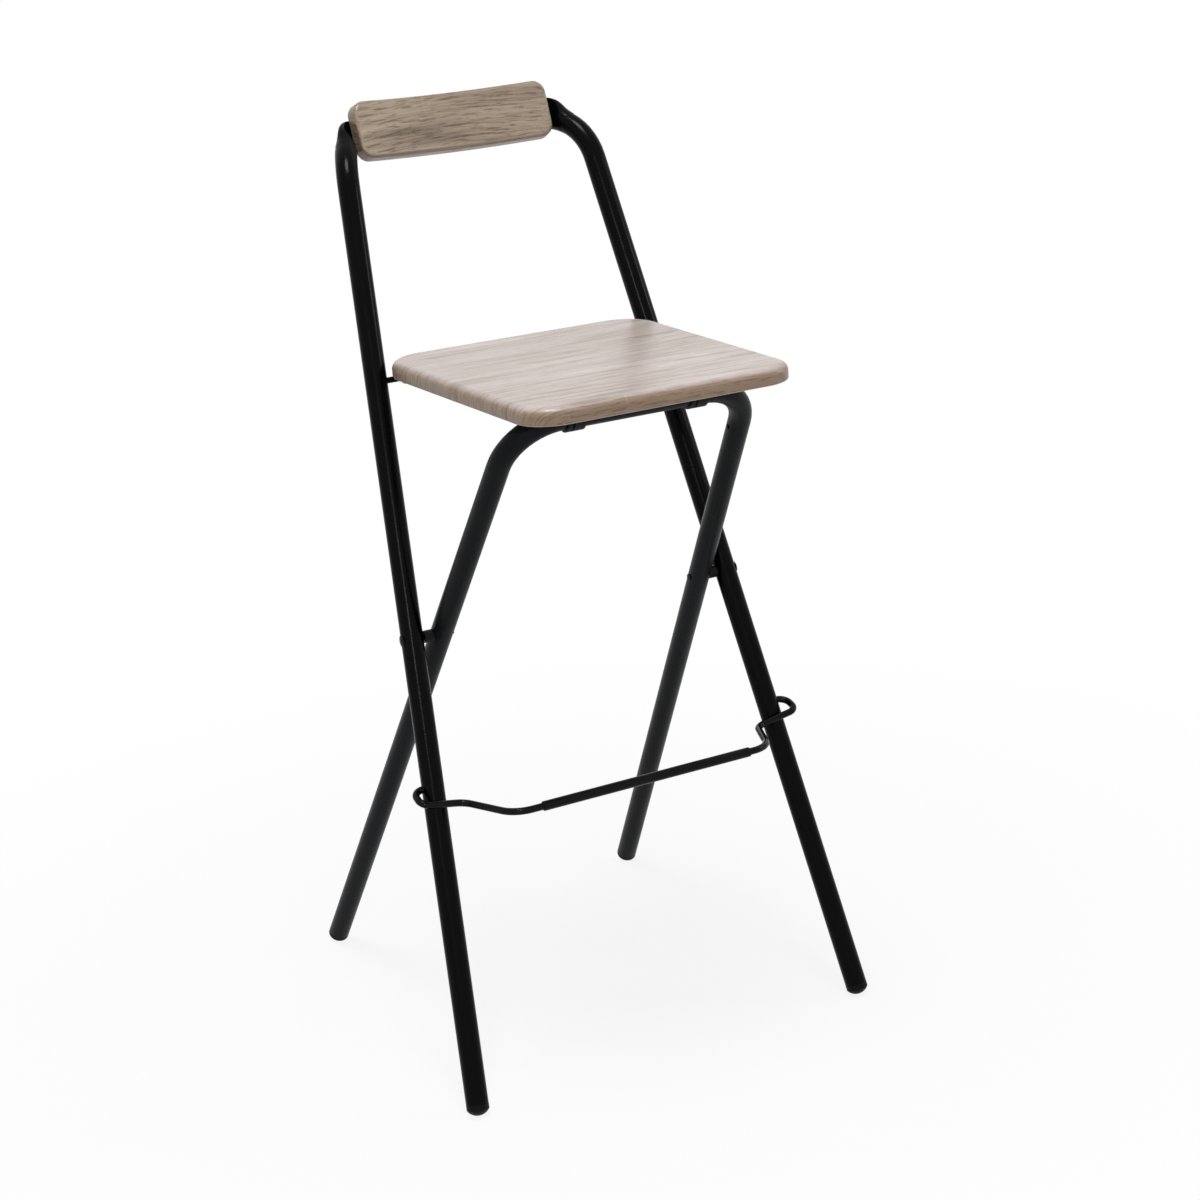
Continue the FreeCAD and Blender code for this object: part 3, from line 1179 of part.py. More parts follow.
def make_seat_hook(name, side):
    body = doc.addObject("PartDesign::Body", name + "_body")
    sketch = new_sketch(body, "YZ_Plane", name + "_section")
    plate = size("hook_plate")
    front = -(size("hook_length") - size("rod_diameter") / 2.0)
    lip_front = rod_r + size("hook_play")
    lip_back = lip_front + plate
    low = -size("hook_lip")
    points = [
        (front, 0.0),
        (front, -plate),
        (lip_front, -plate),
        (lip_front, low),
        (lip_back, low),
        (lip_back, 0.0),
    ]
    outline(sketch, points)
    for i in (0, 2, 4):
        sketch.addConstraint(Sketcher.Constraint("Vertical", i))
    for i in (1, 3, 5):
        sketch.addConstraint(Sketcher.Constraint("Horizontal", i))
    sketch.addConstraint(Sketcher.Constraint("PointOnObject", 5, 1, -1))
    k = sketch.addConstraint(Sketcher.Constraint("Distance", 0, plate))
    sketch.renameConstraint(k, "plate")
    sketch.setExpression("Constraints.plate", "sizes.hook_plate")
    k = sketch.addConstraint(Sketcher.Constraint("Distance", 3, plate))
    sketch.renameConstraint(k, "lip")
    sketch.setExpression("Constraints.lip", "sizes.hook_plate")
    k = sketch.addConstraint(Sketcher.Constraint("DistanceX", -1, 1, 2, 1, lip_front))
    sketch.renameConstraint(k, "play")
    sketch.setExpression("Constraints.play", "sizes.rod_diameter / 2 + sizes.hook_play")
    k = sketch.addConstraint(Sketcher.Constraint("Distance", 4, -low))
    sketch.renameConstraint(k, "drop")
    sketch.setExpression("Constraints.drop", "sizes.hook_lip")
    k = sketch.addConstraint(Sketcher.Constraint("Distance", 1, lip_front - front))
    sketch.renameConstraint(k, "reach")
    sketch.setExpression("Constraints.reach", "sizes.hook_length + sizes.hook_play")
    bent = pad(body, sketch, name + "_strip", "sizes.hook_width", True)

    def outer_bend(edge):
        box = edge.BoundBox
        here = abs(box.Center.y - lip_back) < 0.01 and abs(box.Center.z) < 0.01
        return here and box.XLength > 1.0

    def tip(edge):
        box = edge.BoundBox
        at_tip = abs(box.Center.z - low) < 0.01 and abs(box.YLength - plate) < 0.01
        return at_tip and box.XLength < 0.01

    turned = fillet(body, bent, name + "_bend", outer_bend, "sizes.hook_plate * 0.9")
    eased = fillet(body, turned, name + "_tip", tip, "sizes.hook_width * 0.2")
    doc.recompute()
    holes = new_sketch(body, "XY_Plane", name + "_holes")
    middle = hook_screw_middle() - rod_y
    gap = size("hook_screw_spacing") / 2.0
    for sign in (-1, 1):
        place = middle + sign * gap
        geo = holes.addGeometry(Part.Circle(Vector(0, place, 0), Vector(0, 0, 1), 2.3), False)
        holes.addConstraint(Sketcher.Constraint("PointOnObject", geo, 3, -2))
        k = holes.addConstraint(Sketcher.Constraint("Radius", geo, 2.3))
        tag = "hole%d" % (sign + 1)
        holes.renameConstraint(k, tag)
        holes.setExpression("Constraints." + tag, "sizes.screw_diameter / 2 + 0.25")
        holes.addConstraint(Sketcher.Constraint("DistanceY", geo, 3, -1, 1, -place))
    before = eased.Shape.Volume
    pocket = body.newObject("PartDesign::Pocket", name + "_drilled")
    pocket.Profile = holes
    pocket.Length = 10.0
    doc.recompute()
    if pocket.Shape.Volume > before - 5.0:
        pocket.Reversed = True
        doc.recompute()
    body.Tip = pocket
    x = side * hook_spacing / 2.0
    body.Placement = FreeCAD.Placement(Vector(x, rod_y, seat_under), FreeCAD.Rotation())
    body.Label = name
    return body


def make_seat_hook_screws():
    one = screw_shape(size("screw_length"))
    solids = []
    head_at = seat_under - size("hook_plate")
    for side in (-1, 1):
        for sign in (-1, 1):
            x = side * hook_spacing / 2.0
            y = hook_screw_middle() + sign * size("hook_screw_spacing") / 2.0
            solids.append(placed(one, Vector(x, y, head_at), Vector(0, 0, 1)))
    return plain("seat_hook_screws", Part.makeCompound(solids))


# Footrest: one bent wire. The bar lies in front of the legs. Each arm runs back,
# turns out and crosses the front of its leg, where it rests, then turns back
# outside and enters the leg's outer wall, where it pivots.

def footrest_pivot():
    z = size("footrest_pivot_height")
    y = front_foot_y + z * math.tan(back_lean)
    return y, z


def before_leg(x, drop, ahead):
    # point in front of the back frame's plane, below the footrest's pivot
    y, z = footrest_pivot()
    low = z - drop
    y = front_foot_y + low * math.tan(back_lean) - ahead / math.cos(back_lean)
    return Vector(x, y, low)


def footrest_bar():
    y, z = footrest_pivot()
    return y - size("footrest_bar_forward"), z - size("footrest_bar_drop")


def make_footrest_wire():
    y, z = footrest_pivot()
    bar_y0, bar_z0 = footrest_bar()
    half = back_half(z / math.cos(back_lean))
    end_x = half - tube_r + size("tube_wall") + size("seat_gap") + 0.8
    loop = half + tube_r + size("footrest_loop_reach")
    arm = half - tube_r - size("footrest_arm_inset")
    bar = half - tube_r - size("footrest_bar_inset")
    tilt = size("footrest_cross_tilt")
    # where the slanting wire passes the leg's axis it just clears the leg
    slant = math.cos(math.atan2(tilt, loop - arm))
    lie = (tube_r + wire_r + size("seat_gap")) / slant
    passing = (loop - half) / (loop - arm)
    right = [
        Vector(end_x, y, z),
        Vector(loop, y, z),
        before_leg(loop, size("footrest_loop_drop"), lie + tilt * passing),
        before_leg(arm, size("footrest_cross_drop"), lie - tilt * (1.0 - passing)),
        Vector(bar, bar_y0, bar_z0),
    ]
    left = []
    for p in reversed(right):
        left.append(Vector(-p.x, p.y, p.z))
    bends = ["footrest_pivot_bend", "footrest_loop_bend", "footrest_arm_bend", "footrest_bar_bend"]
    radii = [size(name) for name in bends]
    edges = rounded_path(right + left, radii + radii[::-1])
    return plain("footrest_wire", swept(edges, wire_r))


def make_footrest_sleeve():
    bar_y0, bar_z0 = footrest_bar()
    body = doc.addObject("PartDesign::Body", "sleeve_body")
    sketch = new_sketch(body, "YZ_Plane", "sleeve_section")
    outer = size("sleeve_diameter") / 2.0
    inner = wire_r + size("close_fit")
    add_circle(sketch, 0, 0, outer, "outside", "0", "0", "sizes.sleeve_diameter / 2")
    add_circle(sketch, 0, 0, inner, "bore", "0", "0", "sizes.footrest_wire / 2 + sizes.close_fit")
    tube = pad(body, sketch, "sleeve_tube", "sizes.sleeve_length", True)

    def rim(edge):
        points = edge.discretize(5)
        return max(abs(math.hypot(p.y, p.z) - outer) for p in points) < 0.01

    fillet(body, tube, "sleeve_ends", rim, "(sizes.sleeve_diameter - sizes.footrest_wire) / 4")
    doc.recompute()
    middle = Vector(size("sleeve_shift"), bar_y0, bar_z0)
    body.Placement = FreeCAD.Placement(middle, FreeCAD.Rotation())
    body.Label = "footrest_sleeve"
    return body


pieces = [
    make_back_frame_tube(),
    make_seat_support_rod(),
    make_backrest_board(),
    make_backrest_screws(),
    make_foot_cap("front_foot_cap_left", back_point, back_half, back_splay, back_lean, -1),
    make_foot_cap("front_foot_cap_right", back_point, back_half, back_splay, back_lean, 1),
    make_pivot_rivet("pivot_rivet_left", -1),
    make_pivot_rivet("pivot_rivet_right", 1),
    make_leg_frame_tube(),
    make_foot_cap("rear_foot_cap_left", leg_point, leg_half, leg_splay, leg_lean, -1),
    make_foot_cap("rear_foot_cap_right", leg_point, leg_half, leg_splay, leg_lean, 1),
    make_pivot_spacer("pivot_spacer_left", -1),
    make_pivot_spacer("pivot_spacer_right", 1),
    make_seat_board(),
    make_hinge_clip("seat_hinge_clip_left", -1),
    make_hinge_clip("seat_hinge_clip_right", 1),
    make_hinge_clip_screws(),
    make_seat_hook("seat_hook_left", -1),
    make_seat_hook("seat_hook_right", 1),
    make_seat_hook_screws(),
    make_footrest_wire(),
    make_footrest_sleeve(),
]

doc.recompute()
faults = []
for item in doc.Objects:
    state = list(item.State)
    if "Invalid" in state or "Error" in state:
        faults.append(item.Name)
for piece in pieces:
    shape = piece.Shape
    if shape.isNull() or not shape.isValid() or len(shape.Solids) < 1:
        faults.append(piece.Label)
if faults:
    raise RuntimeError("faulty pieces: " + ", ".join(faults))

for piece in pieces:
    box = piece.Shape.BoundBox
    print("%-22s solids %d  volume %10.1f  x %7.1f %7.1f  y %7.1f %7.1f  z %7.1f %7.1f" % (
        piece.Label, len(piece.Shape.Solids), piece.Shape.Volume,
        box.XMin, box.XMax, box.YMin, box.YMax, box.ZMin, box.ZMax))
    piece.Shape.exportStep("parts/" + piece.Label + ".step")
print("pivot y %.3f z %.3f  hinge bar y %.3f z %.3f  rod y %.3f z %.3f" % (
    pivot_y, pivot_z, bar_y, bar_z, rod_y, rod_z))
print("footrest pivot y %.3f z %.3f" % footrest_pivot())
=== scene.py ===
import math
import bmesh
import bpy
from mathutils import Matrix, Vector


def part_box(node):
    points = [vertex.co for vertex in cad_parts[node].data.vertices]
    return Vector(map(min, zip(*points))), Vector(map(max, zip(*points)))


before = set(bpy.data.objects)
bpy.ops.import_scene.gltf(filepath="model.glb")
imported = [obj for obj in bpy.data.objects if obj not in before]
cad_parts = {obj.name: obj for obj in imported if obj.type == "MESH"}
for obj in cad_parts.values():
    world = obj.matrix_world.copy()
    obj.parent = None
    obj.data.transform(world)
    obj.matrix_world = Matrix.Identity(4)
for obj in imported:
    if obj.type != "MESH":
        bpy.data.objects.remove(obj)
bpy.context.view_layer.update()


# Studio. A pale floor under the stool, a white surround, and a camera at chest
# height, left of the middle and looking down by about 17 degrees. The surround is
# plain white to the eye and in reflections, and a soft cool lamp to all else.

picture_right = Vector((0.88558, -0.45869, -0.07319))
picture_down = Vector((-0.20012, -0.23459, -0.95127))
line_of_sight = Vector((0.41917, 0.85707, -0.29954))
eye_point = (-0.95520, -2.04915, 1.13178)
focal_pixels = 2350.94
picture_pixels = 1200.0
sensor_width = 36.0
camera_data = bpy.data.cameras.new("photo_camera")
camera = bpy.data.objects.new("photo_camera", camera_data)
bpy.context.scene.collection.objects.link(camera)
turn = Matrix((picture_right, -picture_down, -line_of_sight)).transposed().to_4x4()
camera.matrix_world = Matrix.Translation(eye_point) @ turn
camera_data.sensor_fit = "HORIZONTAL"
camera_data.sensor_width = sensor_width
camera_data.lens = focal_pixels / picture_pixels * sensor_width
camera_data.clip_start = 0.05
bpy.context.scene.camera = camera
bpy.context.scene.view_settings.view_transform = "Standard"


def rays_shown_white(nodes, links):
    rays = nodes.new("ShaderNodeLightPath")
    seen = nodes.new("ShaderNodeMath")
    seen.operation = "MAXIMUM"
    links.new(rays.outputs["Is Camera Ray"], seen.inputs[0])
    links.new(rays.outputs["Is Transmission Ray"], seen.inputs[1])
    seen_or_glossy = nodes.new("ShaderNodeMath")
    seen_or_glossy.operation = "MAXIMUM"
    links.new(seen.outputs[0], seen_or_glossy.inputs[0])
    links.new(rays.outputs["Is Glossy Ray"], seen_or_glossy.inputs[1])
    return seen_or_glossy.outputs[0]


world = bpy.data.worlds.new("white_surround")
bpy.context.scene.world = world
world.use_nodes = True
nodes = world.node_tree.nodes
links = world.node_tree.links
nodes.clear()
soft_sky = nodes.new("ShaderNodeBackground")
soft_sky.inputs["Color"].default_value = (0.96, 0.98, 1.0, 1.0)
soft_sky.inputs["Strength"].default_value = 0.34
white_sky = nodes.new("ShaderNodeBackground")
white_sky.inputs["Color"].default_value = (1.0, 1.0, 1.0, 1.0)
white_sky.inputs["Strength"].default_value = 1.0
pick_sky = nodes.new("ShaderNodeMixShader")
sky_out = nodes.new("ShaderNodeOutputWorld")
links.new(rays_shown_white(nodes, links), pick_sky.inputs[0])
links.new(soft_sky.outputs[0], pick_sky.inputs[1])
links.new(white_sky.outputs[0], pick_sky.inputs[2])
links.new(pick_sky.outputs[0], sky_out.inputs["Surface"])

floor_half_width = 9.0
floor_shape = bmesh.new()
bmesh.ops.create_grid(floor_shape, x_segments=1, y_segments=1, size=floor_half_width)
floor_mesh = bpy.data.meshes.new("studio_floor")
floor_shape.to_mesh(floor_mesh)
floor_shape.free()
floor = bpy.data.objects.new("studio_floor", floor_mesh)
bpy.context.scene.collection.objects.link(floor)
floor_paint = bpy.data.materials.new("pale_floor")
floor_paint.use_nodes = True
nodes = floor_paint.node_tree.nodes
links = floor_paint.node_tree.links
nodes.clear()
matt = nodes.new("ShaderNodeBsdfDiffuse")
matt.inputs["Color"].default_value = (0.92, 0.92, 0.92, 1.0)
glow = nodes.new("ShaderNodeEmission")
glow.inputs["Strength"].default_value = 1.0
# the shadow shows under the stool and fades into white a step away from it
shadow_full_to = 0.25
shadow_gone_at = 1.1
white_in_shadow = 0.86
from_middle = nodes.new("ShaderNodeTexCoord")
reach = nodes.new("ShaderNodeVectorMath")
reach.operation = "LENGTH"
links.new(from_middle.outputs["Object"], reach.inputs[0])
fade = nodes.new("ShaderNodeMapRange")
fade.inputs["From Min"].default_value = shadow_full_to
fade.inputs["From Max"].default_value = shadow_gone_at
fade.inputs["To Min"].default_value = white_in_shadow
fade.inputs["To Max"].default_value = 1.0
links.new(reach.outputs["Value"], fade.inputs["Value"])
share = nodes.new("ShaderNodeMath")
share.operation = "MULTIPLY"
links.new(rays_shown_white(nodes, links), share.inputs[0])
links.new(fade.outputs["Result"], share.inputs[1])
pick_floor = nodes.new("ShaderNodeMixShader")
floor_out = nodes.new("ShaderNodeOutputMaterial")
links.new(share.outputs[0], pick_floor.inputs[0])
links.new(matt.outputs[0], pick_floor.inputs[1])
links.new(glow.outputs[0], pick_floor.inputs[2])
links.new(pick_floor.outputs[0], floor_out.inputs["Surface"])
floor_mesh.materials.append(floor_paint)

# one large lamp overhead, a small one at the front left and a weak one at the right
for name, place, aim, width, watts in (
        ("top_lamp", (-0.3, -0.5, 3.0), (0.0, 0.0, 0.5), 0.8, 44.0),
        ("front_lamp", (-1.7, -3.1, 1.9), (0.0, 0.0, 0.5), 0.35, 15.0),
        ("right_lamp", (2.6, -1.2, 1.6), (0.0, 0.0, 0.6), 0.5, 8.0)):
    lamp_data = bpy.data.lights.new(name, "AREA")
    lamp_data.shape = "SQUARE"
    lamp_data.size = width
    lamp_data.energy = watts
    lamp = bpy.data.objects.new(name, lamp_data)
    aim_line = Vector(aim) - Vector(place)
    lamp.rotation_euler = aim_line.to_track_quat("-Z", "Y").to_euler()
    lamp.location = place
    bpy.context.scene.collection.objects.link(lamp)


# Back frame. One round steel tube bent to an upside-down U, its crossbar pressed
# flat behind the backrest, with the seat's support rod across between its legs.
# Tube and rod are in black powder paint that cured glossy, with faint orange peel.

def noise_at(nodes, links, where, scale, detail):
    noise = nodes.new("ShaderNodeTexNoise")
    noise.inputs["Scale"].default_value = scale
    noise.inputs["Detail"].default_value = detail
    links.new(where.outputs["Object"], noise.inputs["Vector"])
    return noise


def ranged(nodes, links, value, start, end, low, high):
    span = nodes.new("ShaderNodeMapRange")
    span.inputs["From Min"].default_value = start
    span.inputs["From Max"].default_value = end
    span.inputs["To Min"].default_value = low
    span.inputs["To Max"].default_value = high
    links.new(value, span.inputs["Value"])
    return span


def blended(nodes, links, first, second, second_share):
    blend = nodes.new("ShaderNodeMix")
    blend.data_type = "FLOAT"
    share_in, first_in, second_in = blend.inputs[0], blend.inputs[2], blend.inputs[3]
    share_in.default_value = second_share
    links.new(first, first_in)
    links.new(second, second_in)
    return blend.outputs[0]


def two_tones(nodes, links, value, low_mark, low, high_mark, high):
    tone = nodes.new("ShaderNodeValToRGB")
    tone.color_ramp.elements[0].position = low_mark
    tone.color_ramp.elements[1].position = high_mark
    tone.color_ramp.elements[0].color = (*low, 1.0)
    tone.color_ramp.elements[1].color = (*high, 1.0)
    links.new(value, tone.inputs["Fac"])
    return tone.outputs["Color"]


def emboss(nodes, links, height, shader, strength, depth):
    relief = nodes.new("ShaderNodeBump")
    relief.inputs["Strength"].default_value = strength
    relief.inputs["Distance"].default_value = depth
    links.new(height, relief.inputs["Height"])
    links.new(relief.outputs["Normal"], shader.inputs["Normal"])


def powder_paint(name, colour, roughness, shine, peel, dust):
    paint = bpy.data.materials.new(name)
    paint.use_nodes = True
    nodes = paint.node_tree.nodes
    links = paint.node_tree.links
    shader = nodes["Principled BSDF"]
    shader.inputs["Specular IOR Level"].default_value = shine
    where = nodes.new("ShaderNodeTexCoord")
    # broad, faint changes of film thickness under a fine speckle of powder grains
    film = noise_at(nodes, links, where, scale=9.0, detail=4.0)
    grains = noise_at(nodes, links, where, scale=1400.0, detail=2.0)
    grain_share = 0.35
    coat = blended(nodes, links, film.outputs["Fac"], grains.outputs["Fac"], grain_share)
    thin = [part * 0.86 for part in colour]
    dusty = [part * 1.12 + dust for part in colour]
    tone = two_tones(nodes, links, coat, low_mark=0.30, low=thin, high_mark=0.72, high=dusty)
    links.new(tone, shader.inputs["Base Color"])
    # gloss varies a little with handling marks
    marks = noise_at(nodes, links, where, scale=34.0, detail=6.0)
    marks.inputs["Roughness"].default_value = 0.7
    smooth = roughness - 0.05
    rubbed = roughness + 0.09
    gloss = ranged(nodes, links, marks.outputs["Fac"],
                   start=0.30, end=0.75, low=smooth, high=rubbed)
    links.new(gloss.outputs["Result"], shader.inputs["Roughness"])
    # orange peel, coarser than the powder grain
    skin = noise_at(nodes, links, where, scale=420.0, detail=1.0)
    emboss(nodes, links, skin.outputs["Fac"], shader, strength=peel, depth=0.0002)
    return paint


def dress(node_name, material):
    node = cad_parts[node_name]
    node.data.materials.clear()
    node.data.materials.append(material)


black_paint = powder_paint(
    "black_powder_paint", colour=(0.0008, 0.0008, 0.0010),
    roughness=0.20, shine=0.06, peel=0.25, dust=0.0005)
dress("back_frame_tube", black_paint)
dress("seat_support_rod", black_paint)


# Leg frame. The second bent tube, whose top bar carries the seat. Its coating is
# a charcoal satin, a shade lighter and less glossy than the back frame.

charcoal_paint = powder_paint(
    "charcoal_powder_paint", colour=(0.0068, 0.0074, 0.0088),
    roughness=0.34, shine=0.07, peel=0.30, dust=0.0015)
dress("leg_frame_tube", charcoal_paint)


# Seat board. Pressed board wrapped in a washed-oak foil: the grain runs from side
# to side on top and folds down over the rounded edges, with fine dark pores and
# faint pale saw marks across the grain.

# turn brings the board's face to the top, face_at is the face's height there, and the edge
# share sets how far the edges are browned and darkened with painted shade
def oak_foil(name, face_at, turn, shift, light, middle, dark,
             lined, dashed, edge_brown_and_shade_share, roughness):
    oak = bpy.data.materials.new(name)
    oak.use_nodes = True
    nodes = oak.node_tree.nodes
    links = oak.node_tree.links
    shader = nodes["Principled BSDF"]
    where = nodes.new("ShaderNodeTexCoord")
    laid = nodes.new("ShaderNodeMapping")
    laid.vector_type = "POINT"
    laid.inputs["Location"].default_value = shift
    laid.inputs["Rotation"].default_value = turn
    links.new(where.outputs["Object"], laid.inputs["Vector"])
    facing = nodes.new("ShaderNodeMapping")
    facing.vector_type = "POINT"
    facing.inputs["Rotation"].default_value = turn
    links.new(where.outputs["Normal"], facing.inputs["Vector"])
    spot = nodes.new("ShaderNodeSeparateXYZ")
    links.new(laid.outputs["Vector"], spot.inputs[0])
    tilt = nodes.new("ShaderNodeSeparateXYZ")
    links.new(facing.outputs["Vector"], tilt.inputs[0])
    drop = nodes.new("ShaderNodeMath")
    drop.operation = "SUBTRACT"
    drop.inputs[1].default_value = face_at
    links.new(spot.outputs["Z"], drop.inputs[0])

    # on an edge the foil runs on, as far sideways as the edge goes down
    def folded(axis):
        fall = nodes.new("ShaderNodeMath")
        fall.operation = "MULTIPLY"
        links.new(drop.outputs[0], fall.inputs[0])
        links.new(tilt.outputs[axis], fall.inputs[1])
        spread = nodes.new("ShaderNodeMath")
        spread.operation = "SUBTRACT"
        links.new(spot.outputs[axis], spread.inputs[0])
        links.new(fall.outputs[0], spread.inputs[1])
        return spread.outputs[0]

    sheet = nodes.new("ShaderNodeCombineXYZ")
    links.new(folded("X"), sheet.inputs["X"])
    links.new(folded("Y"), sheet.inputs["Y"])

    # along and across count the marks in a metre, with the grain and square to it
    def grain(along, across, detail, rough, bend):
        pull = nodes.new("ShaderNodeMapping")
        pull.inputs["Scale"].default_value = (along, across, 1.0)
        links.new(sheet.outputs[0], pull.inputs["Vector"])
        marks = nodes.new("ShaderNodeTexNoise")
        marks.inputs["Scale"].default_value = 1.0
        marks.inputs["Detail"].default_value = detail
        marks.inputs["Roughness"].default_value = rough
        marks.inputs["Distortion"].default_value = bend
        links.new(pull.outputs[0], marks.inputs["Vector"])
        return marks.outputs["Fac"]

    # broad flames of the figure
    flame = grain(along=4.2, across=38.0, detail=5.0, rough=0.58, bend=1.4)
    # growth lines that wander along the board
    lines = grain(along=7.0, across=300.0, detail=4.0, rough=0.66, bend=0.45)
    # short dark dashes
    dashes = grain(along=48.0, across=520.0, detail=4.0, rough=0.64, bend=0.55)
    # open pores, shorter and finer still
    pores = grain(along=95.0, across=1500.0, detail=2.0, rough=0.55, bend=0.0)
    # pale marks of the saw, square to the grain
    saw = grain(along=260.0, across=14.0, detail=3.0, rough=0.55, bend=0.0)

    figure = blended(nodes, links, flame, lines, lined)
    stain = nodes.new("ShaderNodeValToRGB")
    ramp = stain.color_ramp
    dark_mark, middle_mark, light_mark = 0.33, 0.48, 0.66
    ramp.elements[0].position = dark_mark
    ramp.elements[0].color = (*dark, 1.0)
    ramp.elements[1].position = light_mark
    ramp.elements[1].color = (*light, 1.0)
    centre = ramp.elements.new(middle_mark)
    centre.color = (*middle, 1.0)
    links.new(figure, stain.inputs["Fac"])

    def tinted(under, share, tint, way):
        coat = nodes.new("ShaderNodeMix")
        coat.data_type = "RGBA"
        coat.blend_type = way
        share_in, under_in, tint_in = coat.inputs[0], coat.inputs[6], coat.inputs[7]
        tint_in.default_value = (*tint, 1.0)
        links.new(share, share_in)
        links.new(under, under_in)
        return coat.outputs[2]

    # the foil is stretched and browner where it goes over the edges, and the edges also carry
    # painted shade: the further a face turns from flat, the darker and browner it is painted
    edge_brown_and_shade_tint = (0.60, 0.48, 0.345)
    level = nodes.new("ShaderNodeMath")
    level.operation = "ABSOLUTE"
    links.new(tilt.outputs["Z"], level.inputs[0])
    # share of browning and painted shade, full on the upright sides of the board
    edge_brown_and_shade_mask = ranged(nodes, links, level.outputs[0],
                  start=0.97, end=0.35, low=0.0, high=edge_brown_and_shade_share)
    edge_brown_and_shade_mask.interpolation_type = "SMOOTHSTEP"
    browned_and_shaded = tinted(stain.outputs["Color"], edge_brown_and_shade_mask.outputs["Result"], edge_brown_and_shade_tint, "MULTIPLY")

    # the dashes show more on the edges, where the foil was drawn tight
    dash_brown = (0.46, 0.385, 0.31)
    strokes = ranged(nodes, links, dashes, start=0.49, end=0.39, low=0.0, high=dashed)
    drawn = nodes.new("ShaderNodeMath")
    drawn.operation = "MULTIPLY_ADD"
    drawn.use_clamp = True
    links.new(strokes.outputs["Result"], drawn.inputs[0])
    links.new(edge_brown_and_shade_mask.outputs["Result"], drawn.inputs[1])
    links.new(strokes.outputs["Result"], drawn.inputs[2])
    stroked = tinted(browned_and_shaded, drawn.outputs[0], dash_brown, "MULTIPLY")

    pore_brown = (dark[0] * 0.5, dark[1] * 0.48, dark[2] * 0.46)
    pits = ranged(nodes, links, pores, start=0.36, end=0.27, low=0.0, high=0.55)
    pored = tinted(stroked, pits.outputs["Result"], pore_brown, "MIX")

    saw_white = (light[0] * 1.06, light[1] * 1.08, light[2] * 1.10)
    scuffs = ranged(nodes, links, saw, start=0.655, end=0.80, low=0.0, high=0.45)
    sawn = tinted(pored, scuffs.outputs["Result"], saw_white, "MIX")
    links.new(sawn, shader.inputs["Base Color"])

    # pale figure is a little smoother than dark
    rough = roughness + 0.06
    smooth = roughness - 0.06
    sheen = ranged(nodes, links, figure, start=0.0, end=1.0, low=rough, high=smooth)
    links.new(sheen.outputs["Result"], shader.inputs["Roughness"])
    height = nodes.new("ShaderNodeMath")
    height.operation = "SUBTRACT"
    links.new(lines, height.inputs[0])
    links.new(pits.outputs["Result"], height.inputs[1])
    emboss(nodes, links, height.outputs[0], shader, strength=0.30, depth=0.0003)
    return oak


seat_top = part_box("seat_board")[1].z
seat_oak = oak_foil(
    "washed_oak_seat", face_at=seat_top, turn=(0.0, 0.0, 0.0), shift=(0.13, 0.07, 0.0),
    light=(0.60, 0.53, 0.50), middle=(0.475, 0.40, 0.362), dark=(0.225, 0.165, 0.128),
    lined=0.40, dashed=0.34, edge_brown_and_shade_share=1.0, roughness=0.34)
dress("seat_board", seat_oak)


# Backrest. A short bent board in the same foil, darker and with more dark dashes,
# its grain running from side to side and its edges rolled over.

backrest_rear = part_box("backrest_board")[1].y
quarter_turn = math.radians(90.0)
backrest_oak = oak_foil(
    "washed_oak_backrest", face_at=backrest_rear, turn=(quarter_turn, 0.0, 0.0),
    shift=(0.41, 0.23, 0.0),
    light=(0.41, 0.325, 0.25), middle=(0.295, 0.23, 0.17), dark=(0.125, 0.092, 0.065),
    lined=0.52, dashed=0.80, edge_brown_and_shade_share=0.35, roughness=0.34)
dress("backrest_board", backrest_oak)


# Seat hinge clips. Two moulded saddles round the top bar of the leg frame, screwed
# to the seat by their flat ears, in charcoal nylon with a fine moulded texture.

def moulded_plastic(name, colour, roughness, shine, texture):
    plastic = bpy.data.materials.new(name)
    plastic.use_nodes = True
    nodes = plastic.node_tree.nodes
    links = plastic.node_tree.links
    shader = nodes["Principled BSDF"]
    shader.inputs["Specular IOR Level"].default_value = shine
    where = nodes.new("ShaderNodeTexCoord")
    cloud = noise_at(nodes, links, where, scale=60.0, detail=5.0)
    deep = [part * 0.8 for part in colour]
    bleached = [part * 1.25 for part in colour]
    tone = two_tones(nodes, links, cloud.outputs["Fac"],
                     low_mark=0.35, low=deep, high_mark=0.70, high=bleached)
    links.new(tone, shader.inputs["Base Color"])
    smooth = roughness - 0.08
    rubbed = roughness + 0.08
    matt = ranged(nodes, links, cloud.outputs["Fac"],
                  start=0.0, end=1.0, low=smooth, high=rubbed)
    links.new(matt.outputs["Result"], shader.inputs["Roughness"])
    spots = noise_at(nodes, links, where, scale=2600.0, detail=2.0)
    emboss(nodes, links, spots.outputs["Fac"], shader, strength=texture, depth=0.0001)
    return plastic


clip_nylon = moulded_plastic(
    "charcoal_nylon", colour=(0.009, 0.009, 0.010), roughness=0.50, shine=0.10, texture=0.35)
dress("seat_hinge_clip_left", clip_nylon)
dress("seat_hinge_clip_right", clip_nylon)


# Feet. Domed caps of black polyethylene plugged into the four tube ends, with
# treads that the floor has dulled.

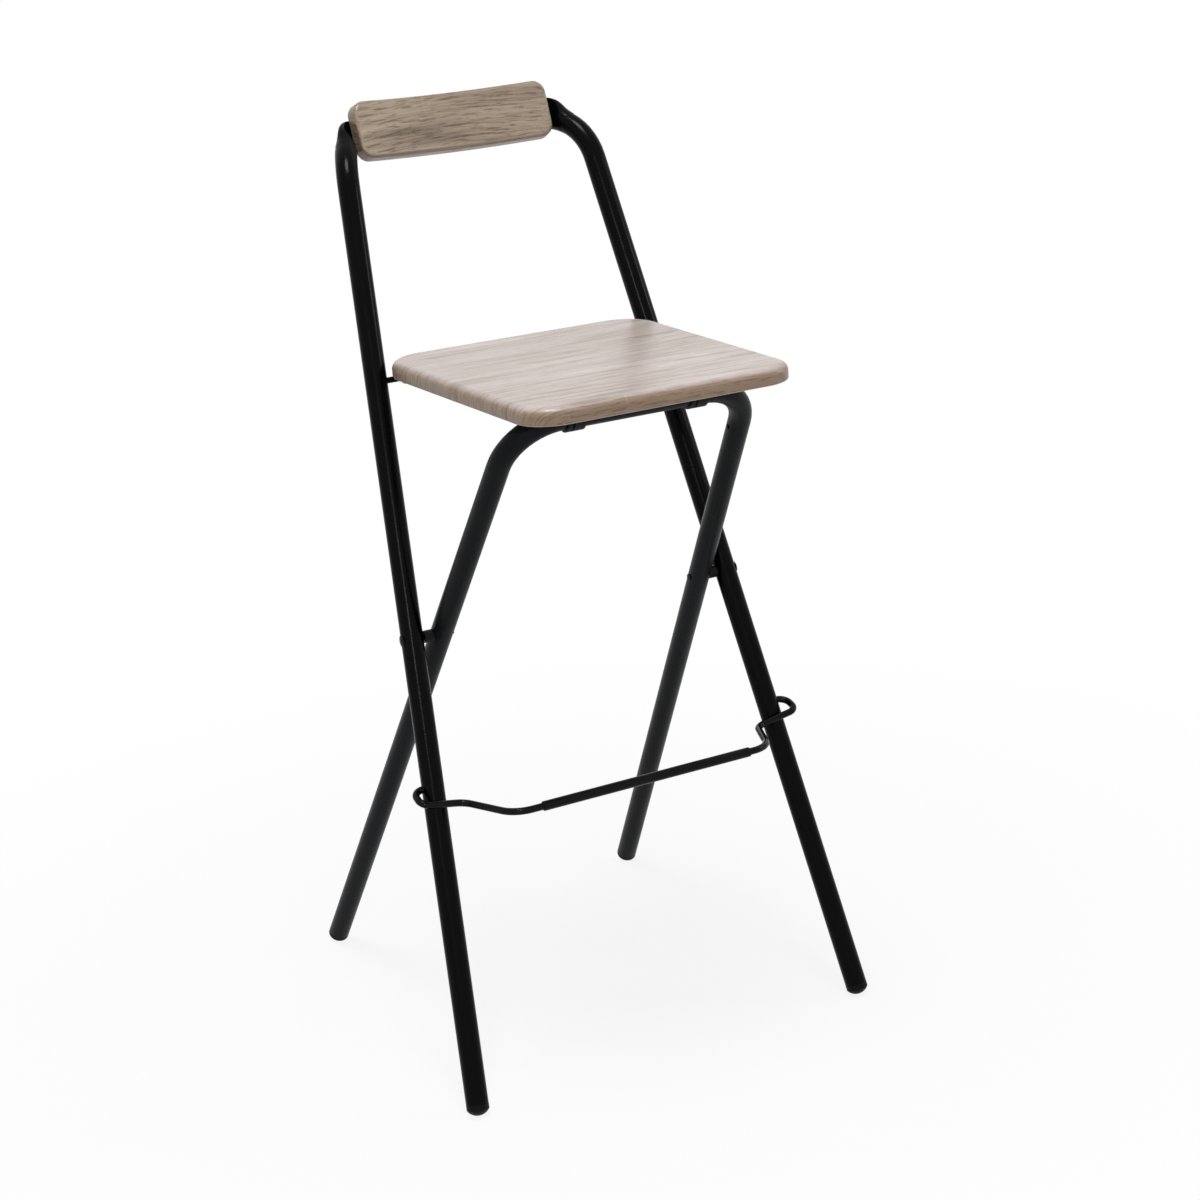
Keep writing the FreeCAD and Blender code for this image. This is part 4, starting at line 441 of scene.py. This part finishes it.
foot_plastic = moulded_plastic(
    "black_polyethylene", colour=(0.0030, 0.0030, 0.0032),
    roughness=0.46, shine=0.08, texture=0.25)
for foot in ("front_foot_cap_left", "front_foot_cap_right",
             "rear_foot_cap_left", "rear_foot_cap_right"):
    dress(foot, foot_plastic)


# Pivots. A black rivet through both tubes on each side, with a plastic spacer
# ring that keeps the two frames apart.

dress("pivot_rivet_left", black_paint)
dress("pivot_rivet_right", black_paint)
spacer_nylon = moulded_plastic(
    "black_nylon_spacer", colour=(0.005, 0.005, 0.005),
    roughness=0.42, shine=0.10, texture=0.20)
dress("pivot_spacer_left", spacer_nylon)
dress("pivot_spacer_right", spacer_nylon)


# Footrest. One bent wire in glossy black paint, pivoted in the front legs, with a
# smooth plastic sleeve over the bar where the feet rest.

wire_paint = powder_paint(
    "gloss_black_wire_paint", colour=(0.0014, 0.0014, 0.0016),
    roughness=0.17, shine=0.12, peel=0.15, dust=0.0003)
dress("footrest_wire", wire_paint)
sleeve_plastic = moulded_plastic(
    "black_sleeve", colour=(0.0026, 0.0026, 0.0030), roughness=0.26, shine=0.11, texture=0.12)
dress("footrest_sleeve", sleeve_plastic)


# Hooks and screws. Bent steel plate under the rear of the seat, painted black like
# the rod it sits on, and pan-head wood screws, zinc plated, with the cloudy bluish
# bloom of thin plating.

dress("seat_hook_left", black_paint)
dress("seat_hook_right", black_paint)

zinc = bpy.data.materials.new("zinc_plated_steel")
zinc.use_nodes = True
nodes = zinc.node_tree.nodes
links = zinc.node_tree.links
shader = nodes["Principled BSDF"]
shader.inputs["Metallic"].default_value = 1.0
where = nodes.new("ShaderNodeTexCoord")
bloom = noise_at(nodes, links, where, scale=130.0, detail=4.0)
bluish = (0.34, 0.35, 0.38)
bright = (0.55, 0.54, 0.53)
plating = two_tones(nodes, links, bloom.outputs["Fac"],
                    low_mark=0.30, low=bluish, high_mark=0.75, high=bright)
links.new(plating, shader.inputs["Base Color"])
scratches = noise_at(nodes, links, where, scale=900.0, detail=3.0)
worn = ranged(nodes, links, scratches.outputs["Fac"],
              start=0.0, end=1.0, low=0.26, high=0.48)
links.new(worn.outputs["Result"], shader.inputs["Roughness"])
for node_name in ("seat_hook_screws", "hinge_clip_screws", "backrest_screws"):
    dress(node_name, zinc)
